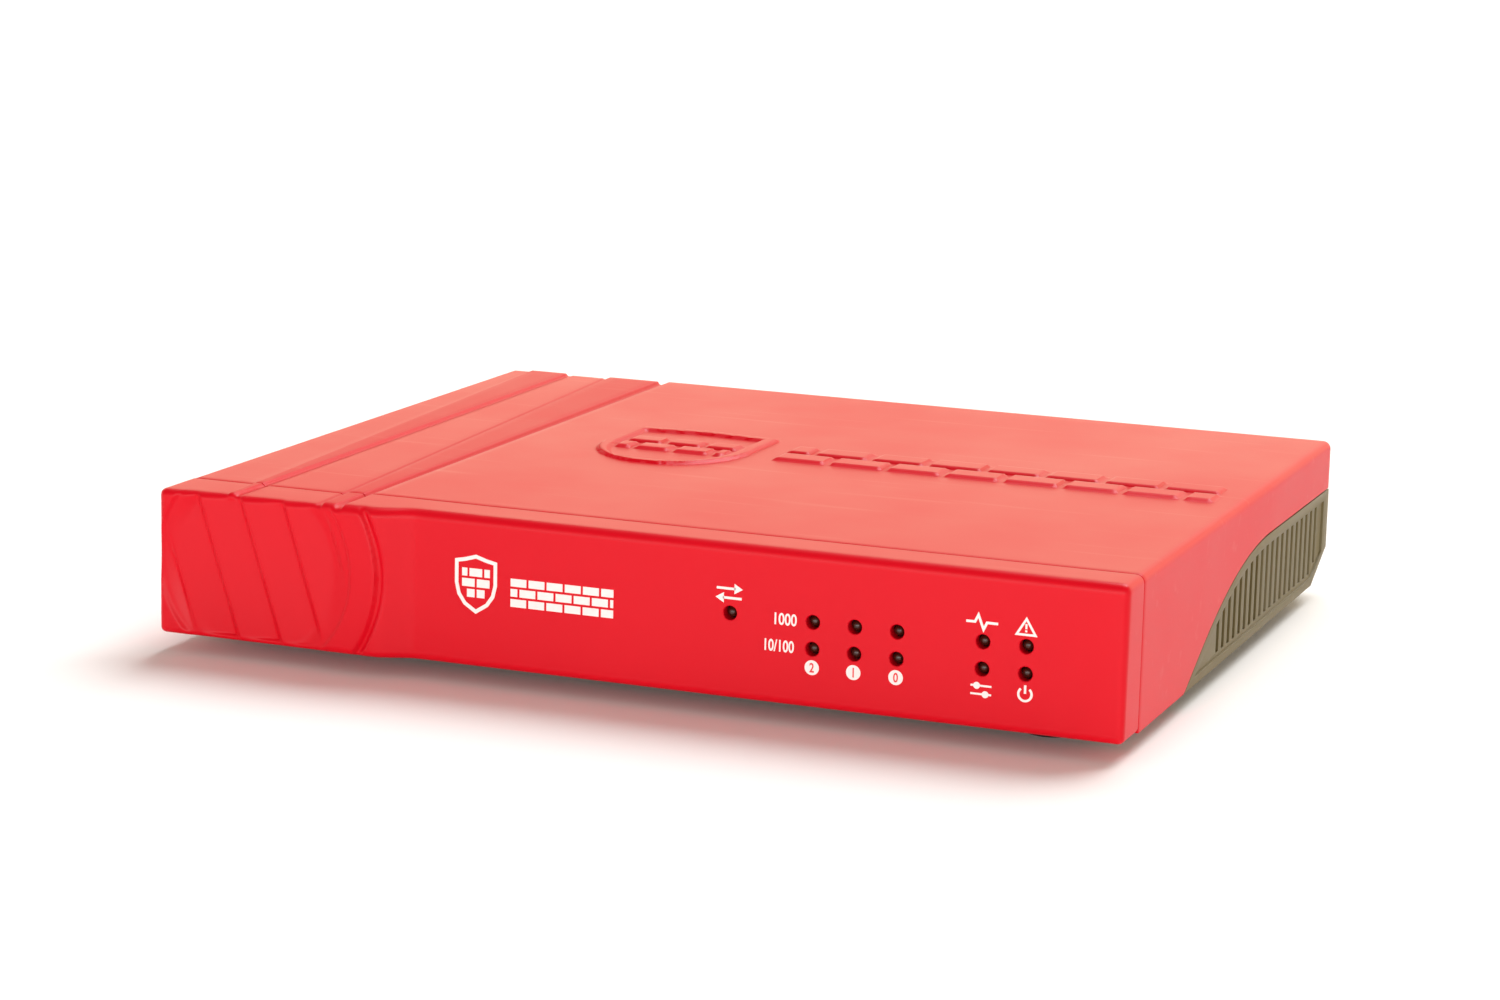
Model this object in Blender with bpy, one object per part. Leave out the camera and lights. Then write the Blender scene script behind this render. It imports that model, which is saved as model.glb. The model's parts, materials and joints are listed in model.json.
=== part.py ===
"""Desktop firewall appliance: red plastic case, grey base, circuit board, lights, sockets and switches.

Metres, +Z up. The front faces -Y and +X runs to the right along the front.
The origin lies on the table under the middle of the appliance.
"""

import math

import bmesh
import bpy
from mathutils import Matrix, Vector

MM = 0.001

# ---------------------------------------------------------------- driving dimensions
CASE_WIDTH = 188 * MM
CASE_DEPTH = 152 * MM            # flat front face to rear rim
CASE_HEIGHT = 28.25 * MM         # without the feet
FOOT_HEIGHT = 3.5 * MM
FOOT_RADIUS = 6 * MM
WALL = 2 * MM                    # shell thickness of the case
GAP = 0.3 * MM                   # clearance between neighbouring pieces
TOP_ROUND = 1.6 * MM             # rounding of the upper edges
BOTTOM_ROUND = 1 * MM            # rounding of the lower edges
LIP = 1.2 * MM                   # thickness of the lips hidden behind seams
LIP_REACH = 2.5 * MM
TONGUE_WIDTH = 16 * MM           # tongues of the base behind the lower edge of the bezel

# front bezel
BEZEL_DEPTH = 9.4 * MM
PANEL_STEP = 2.8 * MM            # how far the fluted panel at the left stands forward
PANEL_WIDTH = 46.5 * MM
PANEL_RAMP = 5.5 * MM            # sloping end of that panel
CORNER_ROUND = 2 * MM

# grey side of the base, seen below the curved edge of the cover
SIDE_START = 40 * MM             # from the front face
SIDE_LEVEL = 104 * MM            # where the curve becomes level
SIDE_HEIGHT = 18.5 * MM          # height of the level stretch
SIDE_PULL_LOW = (14 * MM, 7 * MM)
SIDE_PULL_HIGH = (-30 * MM, 0.5 * MM)
SIDE_THICKNESS = WALL + 0.5 * MM  # reaches in past the cover's wall, so the lip joins it
REAR_SLOPE_RUN = 12.3 * MM       # sloping rear edge of the underside
BOARD_LIFT = 6.6 * MM            # underside of the board above the underside of the case
REAR_SLOPE_RISE = BOARD_LIFT - 0.6 * MM  # the board's rear edge clears the slope

# side vents
VENT_START = 64.5 * MM
VENT_PITCH = 4.1 * MM
VENT_WIDTH = 1.9 * MM
VENT_BOTTOM = 2.45 * MM
VENT_TOP_MARGIN = 2.6 * MM
VENT_OPEN_COUNT = 8
VENT_REAR_MARGIN = 7 * MM        # last vent from the rear rim
VENT_BLIND_DEPTH = 1 * MM
VENT_FIELD_DEPTH = 0.4 * MM      # the vents lie in a shallow field with a rim round it
VENT_FIELD_RIM = 2.2 * MM
VENT_FIELD_LOW = 1.6 * MM
VENT_FIELD_REAR = 4 * MM

# circuit board and its supports
BOARD_SIDE_INSET = 14 * MM       # edge of the board inside the side of the case
BOARD_THICKNESS = 1.6 * MM
BOARD_FRONT_INSET = 3.5 * MM
STANDOFF_RADIUS = 3.5 * MM
BOARD_SCREW_INSET = 22 * MM      # from the side of the case
BOARD_SCREW_FRONT = 26 * MM      # from the front face
BOARD_SCREW_REAR = 34 * MM       # from the rear rim

# screws
SCREW_RADIUS = 1.2 * MM
SCREW_HEAD_RADIUS = 2.8 * MM
SCREW_HEAD_HEIGHT = 1.8 * MM
BOARD_SCREW_LENGTH = 4.5 * MM
CASE_SCREW_LENGTH = 10 * MM
CASE_SCREW_INSET = 9.5 * MM      # from the side of the case
CASE_SCREW_FRONT = 24 * MM
CASE_SCREW_REAR = 31 * MM
BOSS_RADIUS = 4.2 * MM
BOSS_HEIGHT = 5 * MM
PILLAR_RADIUS = 3.2 * MM

# feet
FOOT_INSET = 18 * MM
FOOT_FRONT = 18 * MM
FOOT_REAR = 24 * MM
FOOT_SEAT = 0.6 * MM

# indicator lights
LIGHT_PITCH = 7.87 * MM
LIGHT_LAST_STEP = 7              # pitches from the first column to the last
LIGHT_SIDE_INSET = 17.9 * MM     # last column from the right side of the case
LIGHT_UPPER = 15.65 * MM         # above the underside of the case
LIGHT_LOWER = 10.77 * MM
LIGHT_RADIUS = 1 * MM
LIGHT_HOLE_RADIUS = 1.3 * MM
LIGHT_RECESS = 0.7 * MM          # dome tip behind the front face
BEZEL_WALL = 2.2 * MM
HOLDER_WIDTH = 4.6 * MM
HOLDER_DEPTH = 5.5 * MM
HOLDER_CAP = 2.6 * MM            # holder above the centre of its upper light
HOLDER_POCKET = 1.5 * MM

# rear panel and its sockets; sideways places are counted in socket spacings from the middle
SOCKET_SPACING = CASE_WIDTH / 9.4
REAR_RECESS = 3 * MM             # panel behind the rear rim
REAR_PANEL_THICKNESS = 2 * MM
SOCKET_PROUD = 0.8 * MM
SHEET = 0.4 * MM                 # metal of the socket shells
JACK_WIDTH = 16.2 * MM
JACK_HEIGHT = 12.9 * MM
JACK_DEPTH = 16 * MM
PLUG_WIDTH = 11.9 * MM
PLUG_HEIGHT = 6.9 * MM
PLUG_DEPTH = 12 * MM
LATCH_WIDTH = 6.2 * MM
LATCH_HEIGHT = 1.5 * MM
JACK_FLOOR = 1.6 * MM            # plastic under the latch notch
ETHERNET_X = {"0": -3.1 * SOCKET_SPACING, "1": -2.1 * SOCKET_SPACING, "2": -1.1 * SOCKET_SPACING}
CONSOLE_X = 0
USB_X = SOCKET_SPACING
USB_WIDTH = 14 * MM
USB_HEIGHT = 6.6 * MM
USB_DEPTH = 14 * MM
USB_TONGUE = (11.4 * MM, 1.9 * MM, 9 * MM)
DC_X = 3.5 * SOCKET_SPACING
DC_WIDTH = 9 * MM
DC_HEIGHT = 11 * MM
DC_DEPTH = 13.5 * MM
DC_BORE_RADIUS = 3.2 * MM
DC_BORE_DEPTH = 9.5 * MM
DC_PIN_RADIUS = 1 * MM
SWITCH_X = 2.6 * SOCKET_SPACING
SWITCH_RISE = 18.1 * MM          # centre above the underside of the case
SWITCH_FLANGE = (15 * MM, 10.6 * MM, 1 * MM)
SWITCH_BODY = (13 * MM, 8.6 * MM, 9 * MM)
ROCKER_RADIUS = 5.6 * MM
ROCKER_HEIGHT = 6.6 * MM
ROCKER_TILT = 8                  # degrees to either side of level
ROCKER_RIM = 12                  # degrees, outer corners above the pivot
RESET_X = 1.8 * SOCKET_SPACING
RESET_RADIUS = 1.2 * MM
RESET_HOLE_RADIUS = 1.6 * MM
RESET_TRAVEL = 0.8 * MM
RESET_RECESS = 0.6 * MM
RESET_BODY = (6.4 * MM, 6.4 * MM, 5 * MM)
RESET_STEM = 2 * MM              # button held inside the switch
RESET_REACH = 2.5 * MM           # switch behind the rear panel
LOCK_X = -4.1 * SOCKET_SPACING
LOCK_SLOT = (7 * MM, 3 * MM)

# parts on the board: centre x, centre y from the front face, then size
PROCESSOR = (0.5 * SOCKET_SPACING, 74 * MM, 23 * MM, 23 * MM, 1.8 * MM)
PAD_THICKNESS = 0.6 * MM
SINK_SIZE = (32 * MM, 32 * MM, 9 * MM)
SINK_BASE = 2 * MM
SINK_FINS = 9
SWITCH_CHIP = (-2.1 * SOCKET_SPACING, 92 * MM, 14 * MM, 14 * MM, 1 * MM)
MEMORY_CHIP = (-1.1 * SOCKET_SPACING, 66 * MM, 9 * MM, 13.4 * MM, 1.1 * MM)
FLASH_CHIP = (1.9 * SOCKET_SPACING, 92 * MM, 8 * MM, 6 * MM, 1.7 * MM)
INDUCTOR = (2.8 * SOCKET_SPACING, 108 * MM, 8 * MM, 8 * MM, 4.2 * MM)
CAPACITOR_AT = (3.5 * SOCKET_SPACING, 100 * MM)
CAPACITOR_SIZE = (4 * MM, 10 * MM)

# ---------------------------------------------------------------- places worked out from them
HALF = CASE_WIDTH / 2
FRONT_Y = (PANEL_STEP - CASE_DEPTH) / 2
REAR_Y = FRONT_Y + CASE_DEPTH
LOW_Z = FOOT_HEIGHT
TOP_Z = LOW_Z + CASE_HEIGHT
SEAM_Y = FRONT_Y + BEZEL_DEPTH
INNER_HALF = HALF - WALL
CEILING_Z = TOP_Z - WALL
LIP_HALF = INNER_HALF - GAP
BOARD_HALF_WIDTH = HALF - BOARD_SIDE_INSET
BOARD_SCREW_X = HALF - BOARD_SCREW_INSET
LIGHT_FIRST_X = HALF - LIGHT_SIDE_INSET - LIGHT_LAST_STEP * LIGHT_PITCH
PANEL_REAR_Y = REAR_Y - REAR_RECESS
PANEL_INNER_Y = PANEL_REAR_Y - REAR_PANEL_THICKNESS
SOCKET_FACE_Y = PANEL_REAR_Y + SOCKET_PROUD
BOARD_LOW_Z = LOW_Z + BOARD_LIFT
BOARD_TOP_Z = BOARD_LOW_Z + BOARD_THICKNESS
BOARD_FRONT_Y = FRONT_Y + BOARD_FRONT_INSET
BOARD_REAR_Y = PANEL_INNER_Y - GAP
SEAT_Z = BOARD_TOP_Z + GAP
SIDE_SLOPE_Y = REAR_Y - REAR_SLOPE_RUN
SLOPE_UNDER_PANEL = REAR_SLOPE_RISE * (PANEL_REAR_Y - SIDE_SLOPE_Y) / REAR_SLOPE_RUN
PANEL_LOW_Z = LOW_Z + SLOPE_UNDER_PANEL + WALL + GAP
CASE_SCREWS = [
    (side * (HALF - CASE_SCREW_INSET), y)
    for side in (-1, 1)
    for y in (FRONT_Y + CASE_SCREW_FRONT, REAR_Y - CASE_SCREW_REAR)
]
BOARD_SCREWS = [
    (side * BOARD_SCREW_X, y)
    for side in (-1, 1)
    for y in (FRONT_Y + BOARD_SCREW_FRONT, REAR_Y - BOARD_SCREW_REAR)
]
FEET = [
    (side * (HALF - FOOT_INSET), y)
    for side in (-1, 1)
    for y in (FRONT_Y + FOOT_FRONT, REAR_Y - FOOT_REAR)
]


# ---------------------------------------------------------------- modelling helpers
def clear_scene():
    for item in list(bpy.data.objects):
        bpy.data.objects.remove(item, do_unlink=True)


def srgb(code):
    """Linear colour from a hex code such as E81B2B."""
    channels = []
    for start in (0, 2, 4):
        value = int(code[start:start + 2], 16) / 255
        low = value / 12.92
        high = ((value + 0.055) / 1.055) ** 2.4
        channels.append(low if value <= 0.04045 else high)
    return (*channels, 1)


def paint(item, colour, roughness=0.5, metallic=0):
    """Give a piece a material of its own."""
    material = bpy.data.materials.new(item.name + "_material")
    material.use_nodes = True
    shader = material.node_tree.nodes["Principled BSDF"]
    shader.inputs["Base Color"].default_value = srgb(colour)
    shader.inputs["Roughness"].default_value = roughness
    shader.inputs["Metallic"].default_value = metallic
    item.data.materials.clear()
    item.data.materials.append(material)
    return item


def new_object(name, bm):
    bmesh.ops.recalc_face_normals(bm, faces=bm.faces)
    mesh = bpy.data.meshes.new(name)
    bm.to_mesh(mesh)
    bm.free()
    item = bpy.data.objects.new(name, mesh)
    bpy.context.collection.objects.link(item)
    return item


def prism(name, outline, axis, start, end):
    """Extrude a flat outline along x, y or z; its points are the other two coordinates in order."""
    place = {
        "x": lambda a, b, c: (c, a, b),
        "y": lambda a, b, c: (a, c, b),
        "z": lambda a, b, c: (a, b, c),
    }[axis]
    bm = bmesh.new()
    near = [bm.verts.new(place(a, b, start)) for a, b in outline]
    far = [bm.verts.new(place(a, b, end)) for a, b in outline]
    bm.faces.new(near)
    bm.faces.new(far)
    for i in range(len(outline)):
        j = (i + 1) % len(outline)
        bm.faces.new((near[i], near[j], far[j], far[i]))
    return new_object(name, bm)


def box(name, x0, x1, y0, y1, z0, z1):
    return prism(name, [(x0, y0), (x1, y0), (x1, y1), (x0, y1)], "z", z0, z1)


def turned(name, profile, axis, centre, segments=24):
    """Turn a profile of (radius, distance along the axis) about an axis through the centre."""
    turn = {
        "y": Matrix.Rotation(math.radians(-90), 3, "X"),
        "z": Matrix.Identity(3),
    }[axis]
    bm = bmesh.new()
    rings = []
    for radius, height in profile:
        if radius == 0:
            ring = [bm.verts.new(turn @ Vector((0, 0, height)) + Vector(centre))]
        else:
            ring = []
            for i in range(segments):
                angle = math.tau * i / segments
                spot = Vector((radius * math.cos(angle), radius * math.sin(angle), height))
                ring.append(bm.verts.new(turn @ spot + Vector(centre)))
        rings.append(ring)
    for lower, upper in zip(rings, rings[1:]):
        for i in range(segments):
            j = (i + 1) % segments
            if len(lower) == 1:
                bm.faces.new((lower[0], upper[j], upper[i]))
            elif len(upper) == 1:
                bm.faces.new((lower[i], lower[j], upper[0]))
            else:
                bm.faces.new((lower[i], lower[j], upper[j], upper[i]))
    for ring in (rings[0], rings[-1]):
        if len(ring) > 1:
            bm.faces.new(ring)
    return new_object(name, bm)


def cylinder(name, radius, axis, centre, length, segments=24):
    return turned(name, [(radius, 0), (radius, length)], axis, centre, segments)


def smooth(item, angle=40):
    item.data.shade_smooth()
    item.data.set_sharp_from_angle(angle=math.radians(angle))
    return item


def bevel(item, chosen, width, segments=3):
    """Round the edges for which chosen(first_point, second_point) is true."""
    bm = bmesh.new()
    bm.from_mesh(item.data)
    edges = [edge for edge in bm.edges if chosen(edge.verts[0].co, edge.verts[1].co)]
    bmesh.ops.bevel(bm, geom=edges, offset=width, segments=segments, profile=0.5, affect="EDGES")
    bmesh.ops.recalc_face_normals(bm, faces=bm.faces)
    bm.to_mesh(item.data)
    bm.free()
    return item


def combine(item, others, operation):
    """Join pieces to a body, or cut them from it, one after another."""
    for other in others:
        modifier = item.modifiers.new(operation.lower(), "BOOLEAN")
        modifier.operation = operation
        modifier.object = other
        modifier.solver = "EXACT"
        depsgraph = bpy.context.evaluated_depsgraph_get()
        mesh = bpy.data.meshes.new_from_object(item.evaluated_get(depsgraph))
        item.modifiers.clear()
        item.data = mesh
        bpy.data.objects.remove(other, do_unlink=True)
    return item


def join(item, others):
    return combine(item, others, "UNION")


def cut(item, others):
    return combine(item, others, "DIFFERENCE")


def arc(centre, radius, first, last, steps=4):
    """Points on an arc, angles in degrees."""
    points = []
    for i in range(steps + 1):
        angle = math.radians(first + (last - first) * i / steps)
        points.append((centre[0] + radius * math.cos(angle), centre[1] + radius * math.sin(angle)))
    return points


def side_curve(offset, steps=14):
    """Curved edge of the grey side as (y, z), moved up or down by the offset."""
    first = Vector((FRONT_Y + SIDE_START, LOW_Z))
    last = Vector((FRONT_Y + SIDE_LEVEL, LOW_Z + SIDE_HEIGHT))
    pull_low = first + Vector(SIDE_PULL_LOW)
    pull_high = last + Vector(SIDE_PULL_HIGH)
    points = []
    for i in range(steps + 1):
        t = i / steps
        spot = (1 - t) ** 3 * first + 3 * t * (1 - t) ** 2 * pull_low
        spot += 3 * t ** 2 * (1 - t) * pull_high + t ** 3 * last
        points.append((spot.x, spot.y + offset))
    return points


def side_height(y):
    """Height of the curved edge at a distance along the case."""
    points = side_curve(0)
    for (y0, z0), (y1, z1) in zip(points, points[1:]):
        if y0 <= y <= y1:
            return z0 + (z1 - z0) * (y - y0) / (y1 - y0)
    return LOW_Z + SIDE_HEIGHT


# ---------------------------------------------------------------- case
def bezel_outline(inset, step, rear_y):
    """Plan of the bezel, shrunk by an inset; the step is how far the fluted panel stands forward."""
    face_y = FRONT_Y + inset
    panel_y = face_y - step
    ramp_x = -HALF + PANEL_WIDTH
    radius = max(CORNER_ROUND - inset, 0.2 * MM)
    half = HALF - inset
    outline = [(half, rear_y)]
    outline += reversed(arc((half - radius, face_y + radius), radius, -90, 0))
    outline += [(ramp_x + PANEL_RAMP, face_y), (ramp_x, panel_y)]
    outline += reversed(arc((-half + radius, panel_y + radius), radius, 180, 270))
    outline += [(-half, rear_y)]
    return outline


def light_places():
    """Name, x and height of each indicator light."""
    columns = [("fail_over", 0), ("2", 2), ("1", 3), ("0", 4), ("status", 6), ("attention", 7)]
    names = {
        "fail_over": ["light_fail_over"],
        "2": ["light_1000_port_2", "light_100_port_2"],
        "1": ["light_1000_port_1", "light_100_port_1"],
        "0": ["light_1000_port_0", "light_100_port_0"],
        "status": ["light_status", "light_mode"],
        "attention": ["light_attention", "light_power"],
    }
    places = []
    for column, step in columns:
        x = LIGHT_FIRST_X + step * LIGHT_PITCH
        for name, height in zip(names[column], (LIGHT_UPPER, LIGHT_LOWER)):
            places.append((column, name, x, LOW_Z + height))
    return places


def make_front_bezel():
    item = prism("front_bezel", bezel_outline(0, PANEL_STEP, SEAM_Y), "z", LOW_Z, TOP_Z)

    def on_level(z):
        def chosen(a, b):
            flat = abs(a.z - z) < 1e-6 and abs(b.z - z) < 1e-6
            at_rear = abs(a.y - SEAM_Y) < 1e-6 and abs(b.y - SEAM_Y) < 1e-6
            return flat and not at_rear
        return chosen

    bevel(item, on_level(TOP_Z), TOP_ROUND, 4)
    bevel(item, on_level(LOW_Z), BOTTOM_ROUND, 3)
    inside = bezel_outline(BEZEL_WALL, PANEL_STEP, SEAM_Y + WALL)
    hollow = prism("hollow", inside, "z", LOW_Z + WALL, CEILING_Z)
    holes = []
    for column, name, x, z in light_places():
        holes.append(cylinder("hole", LIGHT_HOLE_RADIUS, "y", (x, FRONT_Y - WALL, z), 3 * WALL, 20))
    cut(item, [hollow] + holes)
    smooth(item)
    return paint(item, "E81B2B", 0.42)


def cover_arch(half, low_z, top_z, radius, thickness):
    """Section of an upside-down trough as (x, z)."""
    outline = [(half, low_z)]
    outline += arc((half - radius, top_z - radius), radius, 0, 90)
    outline += arc((radius - half, top_z - radius), radius, 90, 180)
    outline += [(-half, low_z), (thickness - half, low_z)]
    outline += [(thickness - half, top_z - thickness), (half - thickness, top_z - thickness)]
    outline += [(half - thickness, low_z)]
    return outline


def make_top_cover():
    front_y = SEAM_Y + GAP
    item = prism("top_cover", cover_arch(HALF, LOW_Z, TOP_Z, TOP_ROUND, WALL), "y", front_y, REAR_Y)
    lip_low = LOW_Z + WALL + GAP
    lip_top = CEILING_Z - GAP
    lip_arch = cover_arch(LIP_HALF, lip_low, lip_top, LIP, LIP)
    lip = prism("lip", lip_arch, "y", SEAM_Y - LIP_REACH, front_y + LIP)
    root_half = INNER_HALF + WALL / 4
    root_top = CEILING_Z + WALL / 4
    root = prism(
        "root",
        cover_arch(root_half, lip_low, root_top, LIP, LIP + GAP + WALL / 4),
        "y", front_y + LIP / 2, front_y + LIP_REACH,
    )
    pillars = []
    for x, y in CASE_SCREWS:
        low = LOW_Z + BOSS_HEIGHT + GAP
        pillar = cylinder("pillar", PILLAR_RADIUS, "z", (x, y, low), CEILING_Z + WALL / 2 - low)
        pillars.append(pillar)
    join(item, [lip, root] + pillars)
    region = side_curve(0) + [(REAR_Y + WALL, LOW_Z + SIDE_HEIGHT), (REAR_Y + WALL, LOW_Z - WALL)]
    region += [(FRONT_Y + SIDE_START, LOW_Z - WALL)]
    cutters = []
    for side in (-1, 1):
        near, far = sorted((side * (INNER_HALF - GAP), side * (HALF + WALL)))
        cutters.append(prism("side", region, "x", near, far))
    for x, y in CASE_SCREWS:
        depth = CASE_SCREW_LENGTH + GAP
        cutters.append(cylinder("bore", SCREW_RADIUS + GAP, "z", (x, y, LOW_Z), BOSS_HEIGHT + depth))
    cut(item, cutters)
    smooth(item)
    return paint(item, "E8202C", 0.42)


def base_side(side):
    """Grey side wall: the visible panel, with the lip that stands behind the cover."""
    slope = [(REAR_Y, LOW_Z + REAR_SLOPE_RISE), (SIDE_SLOPE_Y, LOW_Z)]
    outline = side_curve(-GAP)[1:] + [(REAR_Y, LOW_Z + SIDE_HEIGHT - GAP)] + slope
    outline += [(side_curve(0)[0][0] + GAP, LOW_Z)]
    near, far = sorted((side * (HALF - SIDE_THICKNESS), side * HALF))
    panel = prism("side_panel", outline, "x", near, far)
    lip_front = SEAM_Y + LIP_REACH + 3 * GAP
    lip_rear = PANEL_INNER_Y - GAP
    raised = side_curve(LIP_REACH)
    low = LOW_Z + WALL / 2
    lip = [(lip_front, low), (lip_front, LOW_Z + LIP_REACH)] + raised
    slope_z = LOW_Z + REAR_SLOPE_RISE * (lip_rear - SIDE_SLOPE_Y) / REAR_SLOPE_RUN + WALL / 2
    lip += [(lip_rear, LOW_Z + SIDE_HEIGHT + LIP_REACH), (lip_rear, slope_z), (SIDE_SLOPE_Y, low)]
    near, far = sorted((side * (LIP_HALF - LIP), side * LIP_HALF))
    return [panel, prism("side_lip", lip, "x", near, far)]


def vent_cutters(side):
    """Open slots at the front of the grey side, then shallow blind ones; the last follow the slope."""
    cutters = []
    count = int((CASE_DEPTH - VENT_REAR_MARGIN - VENT_START) / VENT_PITCH) + 1
    for i in range(count):
        y = FRONT_Y + VENT_START + i * VENT_PITCH
        top = side_height(y - VENT_WIDTH / 2) - VENT_TOP_MARGIN
        depth = 2 * SIDE_THICKNESS if i < VENT_OPEN_COUNT else VENT_BLIND_DEPTH
        near, far = sorted((side * (HALF - depth), side * (HALF + WALL)))
        past_slope = max(0, y + VENT_WIDTH / 2 - SIDE_SLOPE_Y)
        low = LOW_Z + VENT_BOTTOM + past_slope * REAR_SLOPE_RISE / REAR_SLOPE_RUN
        cutters.append(box("vent", near, far, y - VENT_WIDTH / 2, y + VENT_WIDTH / 2, low, top))
    return cutters


def vent_field(side):
    """Shallow field round the vents, a rim's width inside the outline of the grey side."""
    low = LOW_Z + VENT_FIELD_LOW
    outline = [(y, z) for y, z in side_curve(-VENT_FIELD_RIM) if z > low]
    first_y, first_z = outline[0]
    outline.insert(0, (first_y - (first_z - low) * 2, low))
    rear = REAR_Y - VENT_FIELD_REAR
    slope_rise = REAR_SLOPE_RISE * (rear - SIDE_SLOPE_Y) / REAR_SLOPE_RUN
    outline += [(rear, outline[-1][1]), (rear, low + slope_rise), (SIDE_SLOPE_Y, low)]
    near, far = sorted((side * (HALF - VENT_FIELD_DEPTH), side * (HALF + WALL)))
    return prism("field", outline, "x", near, far)


def make_base_case():
    floor_front = SEAM_Y + GAP
    floor_top = LOW_Z + WALL
    item = box("base_case", -LIP_HALF, LIP_HALF, floor_front, SIDE_SLOPE_Y, LOW_Z, floor_top)
    rise = REAR_SLOPE_RISE
    ramp = [(SIDE_SLOPE_Y - WALL, LOW_Z), (SIDE_SLOPE_Y, LOW_Z), (REAR_Y, LOW_Z + rise)]
    ramp += [(REAR_Y, LOW_Z + rise + WALL), (SIDE_SLOPE_Y, floor_top), (SIDE_SLOPE_Y - WALL, floor_top)]
    parts = [prism("ramp", ramp, "x", -LIP_HALF, LIP_HALF)]
    parts += base_side(-1) + base_side(1)
    for x in (-HALF * 2 / 3, 0, HALF * 2 / 3):
        reach = SEAM_Y - 2 * LIP_REACH
        low = LOW_Z + WALL + GAP
        tongue = [(reach, low), (floor_front + WALL, low), (floor_front + WALL, LOW_Z + WALL / 2)]
        tongue += [(floor_front + 2 * WALL, LOW_Z + WALL / 2), (floor_front + 2 * WALL, low + LIP)]
        tongue += [(reach, low + LIP)]
        parts.append(prism("tongue", tongue, "x", x - TONGUE_WIDTH / 2, x + TONGUE_WIDTH / 2))
    for x, y in BOARD_SCREWS:
        low = floor_top - WALL / 2
        parts.append(cylinder("standoff", STANDOFF_RADIUS, "z", (x, y, low), BOARD_LOW_Z - GAP - low))
    for x, y in CASE_SCREWS:
        low = LOW_Z + WALL / 2
        parts.append(cylinder("boss", BOSS_RADIUS, "z", (x, y, low), BOSS_HEIGHT - WALL / 2))
    join(item, parts)
    cutters = [vent_field(-1), vent_field(1)] + vent_cutters(-1) + vent_cutters(1)
    for x, y in BOARD_SCREWS:
        cutters.append(cylinder("bore", SCREW_RADIUS + GAP, "z", (x, y, floor_top), BOARD_LIFT))
    below = LOW_Z - WALL
    for x, y in CASE_SCREWS:
        run = BOSS_HEIGHT + 2 * WALL
        cutters.append(cylinder("bore", SCREW_RADIUS + GAP, "z", (x, y, below), run))
        seat = SCREW_HEAD_HEIGHT + 2 * GAP
        cutters.append(cylinder("seat", SCREW_HEAD_RADIUS + GAP, "z", (x, y, below), seat + WALL))
    for x, y in FEET:
        seat = FOOT_SEAT + WALL
        cutters.append(cylinder("foot_seat", FOOT_RADIUS + GAP, "z", (x, y, below), seat, 32))
    cut(item, cutters)
    smooth(item)
    return paint(item, "8C8072", 0.6)


def make_feet():
    for i, (x, y) in enumerate(FEET, 1):
        top = FOOT_HEIGHT + FOOT_SEAT - GAP
        edge = 0.5 * MM
        profile = [(FOOT_RADIUS - edge, 0), (FOOT_RADIUS, edge), (FOOT_RADIUS, top)]
        foot = turned("foot_%d" % i, profile, "z", (x, y, 0), 32)
        paint(smooth(foot), "1B1B1C", 0.85)


def make_screw(name, x, y, seat_z, length, up):
    """Pan head screw whose head bears on the seat; up is 1 when the head is on top."""
    edge = 0.4 * MM
    profile = [(SCREW_RADIUS, -length), (SCREW_RADIUS, 0), (SCREW_HEAD_RADIUS, 0)]
    profile += [(SCREW_HEAD_RADIUS, SCREW_HEAD_HEIGHT - edge)]
    profile += [(SCREW_HEAD_RADIUS - edge, SCREW_HEAD_HEIGHT)]
    profile = [(radius, up * height) for radius, height in profile]
    screw = turned(name, profile, "z", (x, y, seat_z), 20)
    return paint(smooth(screw), "B9BCC0", 0.3, 1)


def make_screws():
    for i, (x, y) in enumerate(CASE_SCREWS, 1):
        seat_z = LOW_Z + SCREW_HEAD_HEIGHT + GAP
        make_screw("case_screw_%d" % i, x, y, seat_z, CASE_SCREW_LENGTH, -1)
    for i, (x, y) in enumerate(BOARD_SCREWS, 1):
        make_screw("board_screw_%d" % i, x, y, SEAT_Z, BOARD_SCREW_LENGTH, 1)


# ---------------------------------------------------------------- board
def make_main_board():
    item = box(
        "main_board", -BOARD_HALF_WIDTH, BOARD_HALF_WIDTH,
        BOARD_FRONT_Y, BOARD_REAR_Y, BOARD_LOW_Z, BOARD_TOP_Z,
    )
    holes = []
    for x, y in BOARD_SCREWS:
        low = BOARD_LOW_Z - BOARD_THICKNESS
        holes.append(cylinder("hole", SCREW_RADIUS + 2 * GAP, "z", (x, y, low), 3 * BOARD_THICKNESS))
    cut(item, holes)
    return paint(item, "1E5B34", 0.45)


def make_chip(name, place, colour="1A1A1C"):
    x, y, width, length, height = place
    y += FRONT_Y
    item = box(
        name, x - width / 2, x + width / 2, y - length / 2, y + length / 2,
        SEAT_Z, SEAT_Z + height,
    )
    return paint(item, colour, 0.5)


def make_heat_sink():
    """Thermal pad and finned sink stacked on the processor."""
    x, y, width, length, height = PROCESSOR
    y += FRONT_Y
    pad_low = SEAT_Z + height + GAP
    pad = box(
        "thermal_pad", x - width / 2, x + width / 2, y - length / 2, y + length / 2,
        pad_low, pad_low + PAD_THICKNESS,
    )
    paint(pad, "9FB4C4", 0.8)
    low = pad_low + PAD_THICKNESS + GAP
    span, run, tall = SINK_SIZE
    pitch = span / (2 * SINK_FINS - 1)
    left = x - span / 2
    outline = [(left, low), (left + span, low)]
    for i in reversed(range(SINK_FINS)):
        near = left + 2 * i * pitch
        outline += [(near + pitch, low + tall), (near, low + tall)]
        if i > 0:
            outline += [(near, low + SINK_BASE), (near - pitch, low + SINK_BASE)]
    sink = prism("heat_sink", outline, "y", y - run / 2, y + run / 2)
    paint(sink, "A9ADB2", 0.35, 1)


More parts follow.
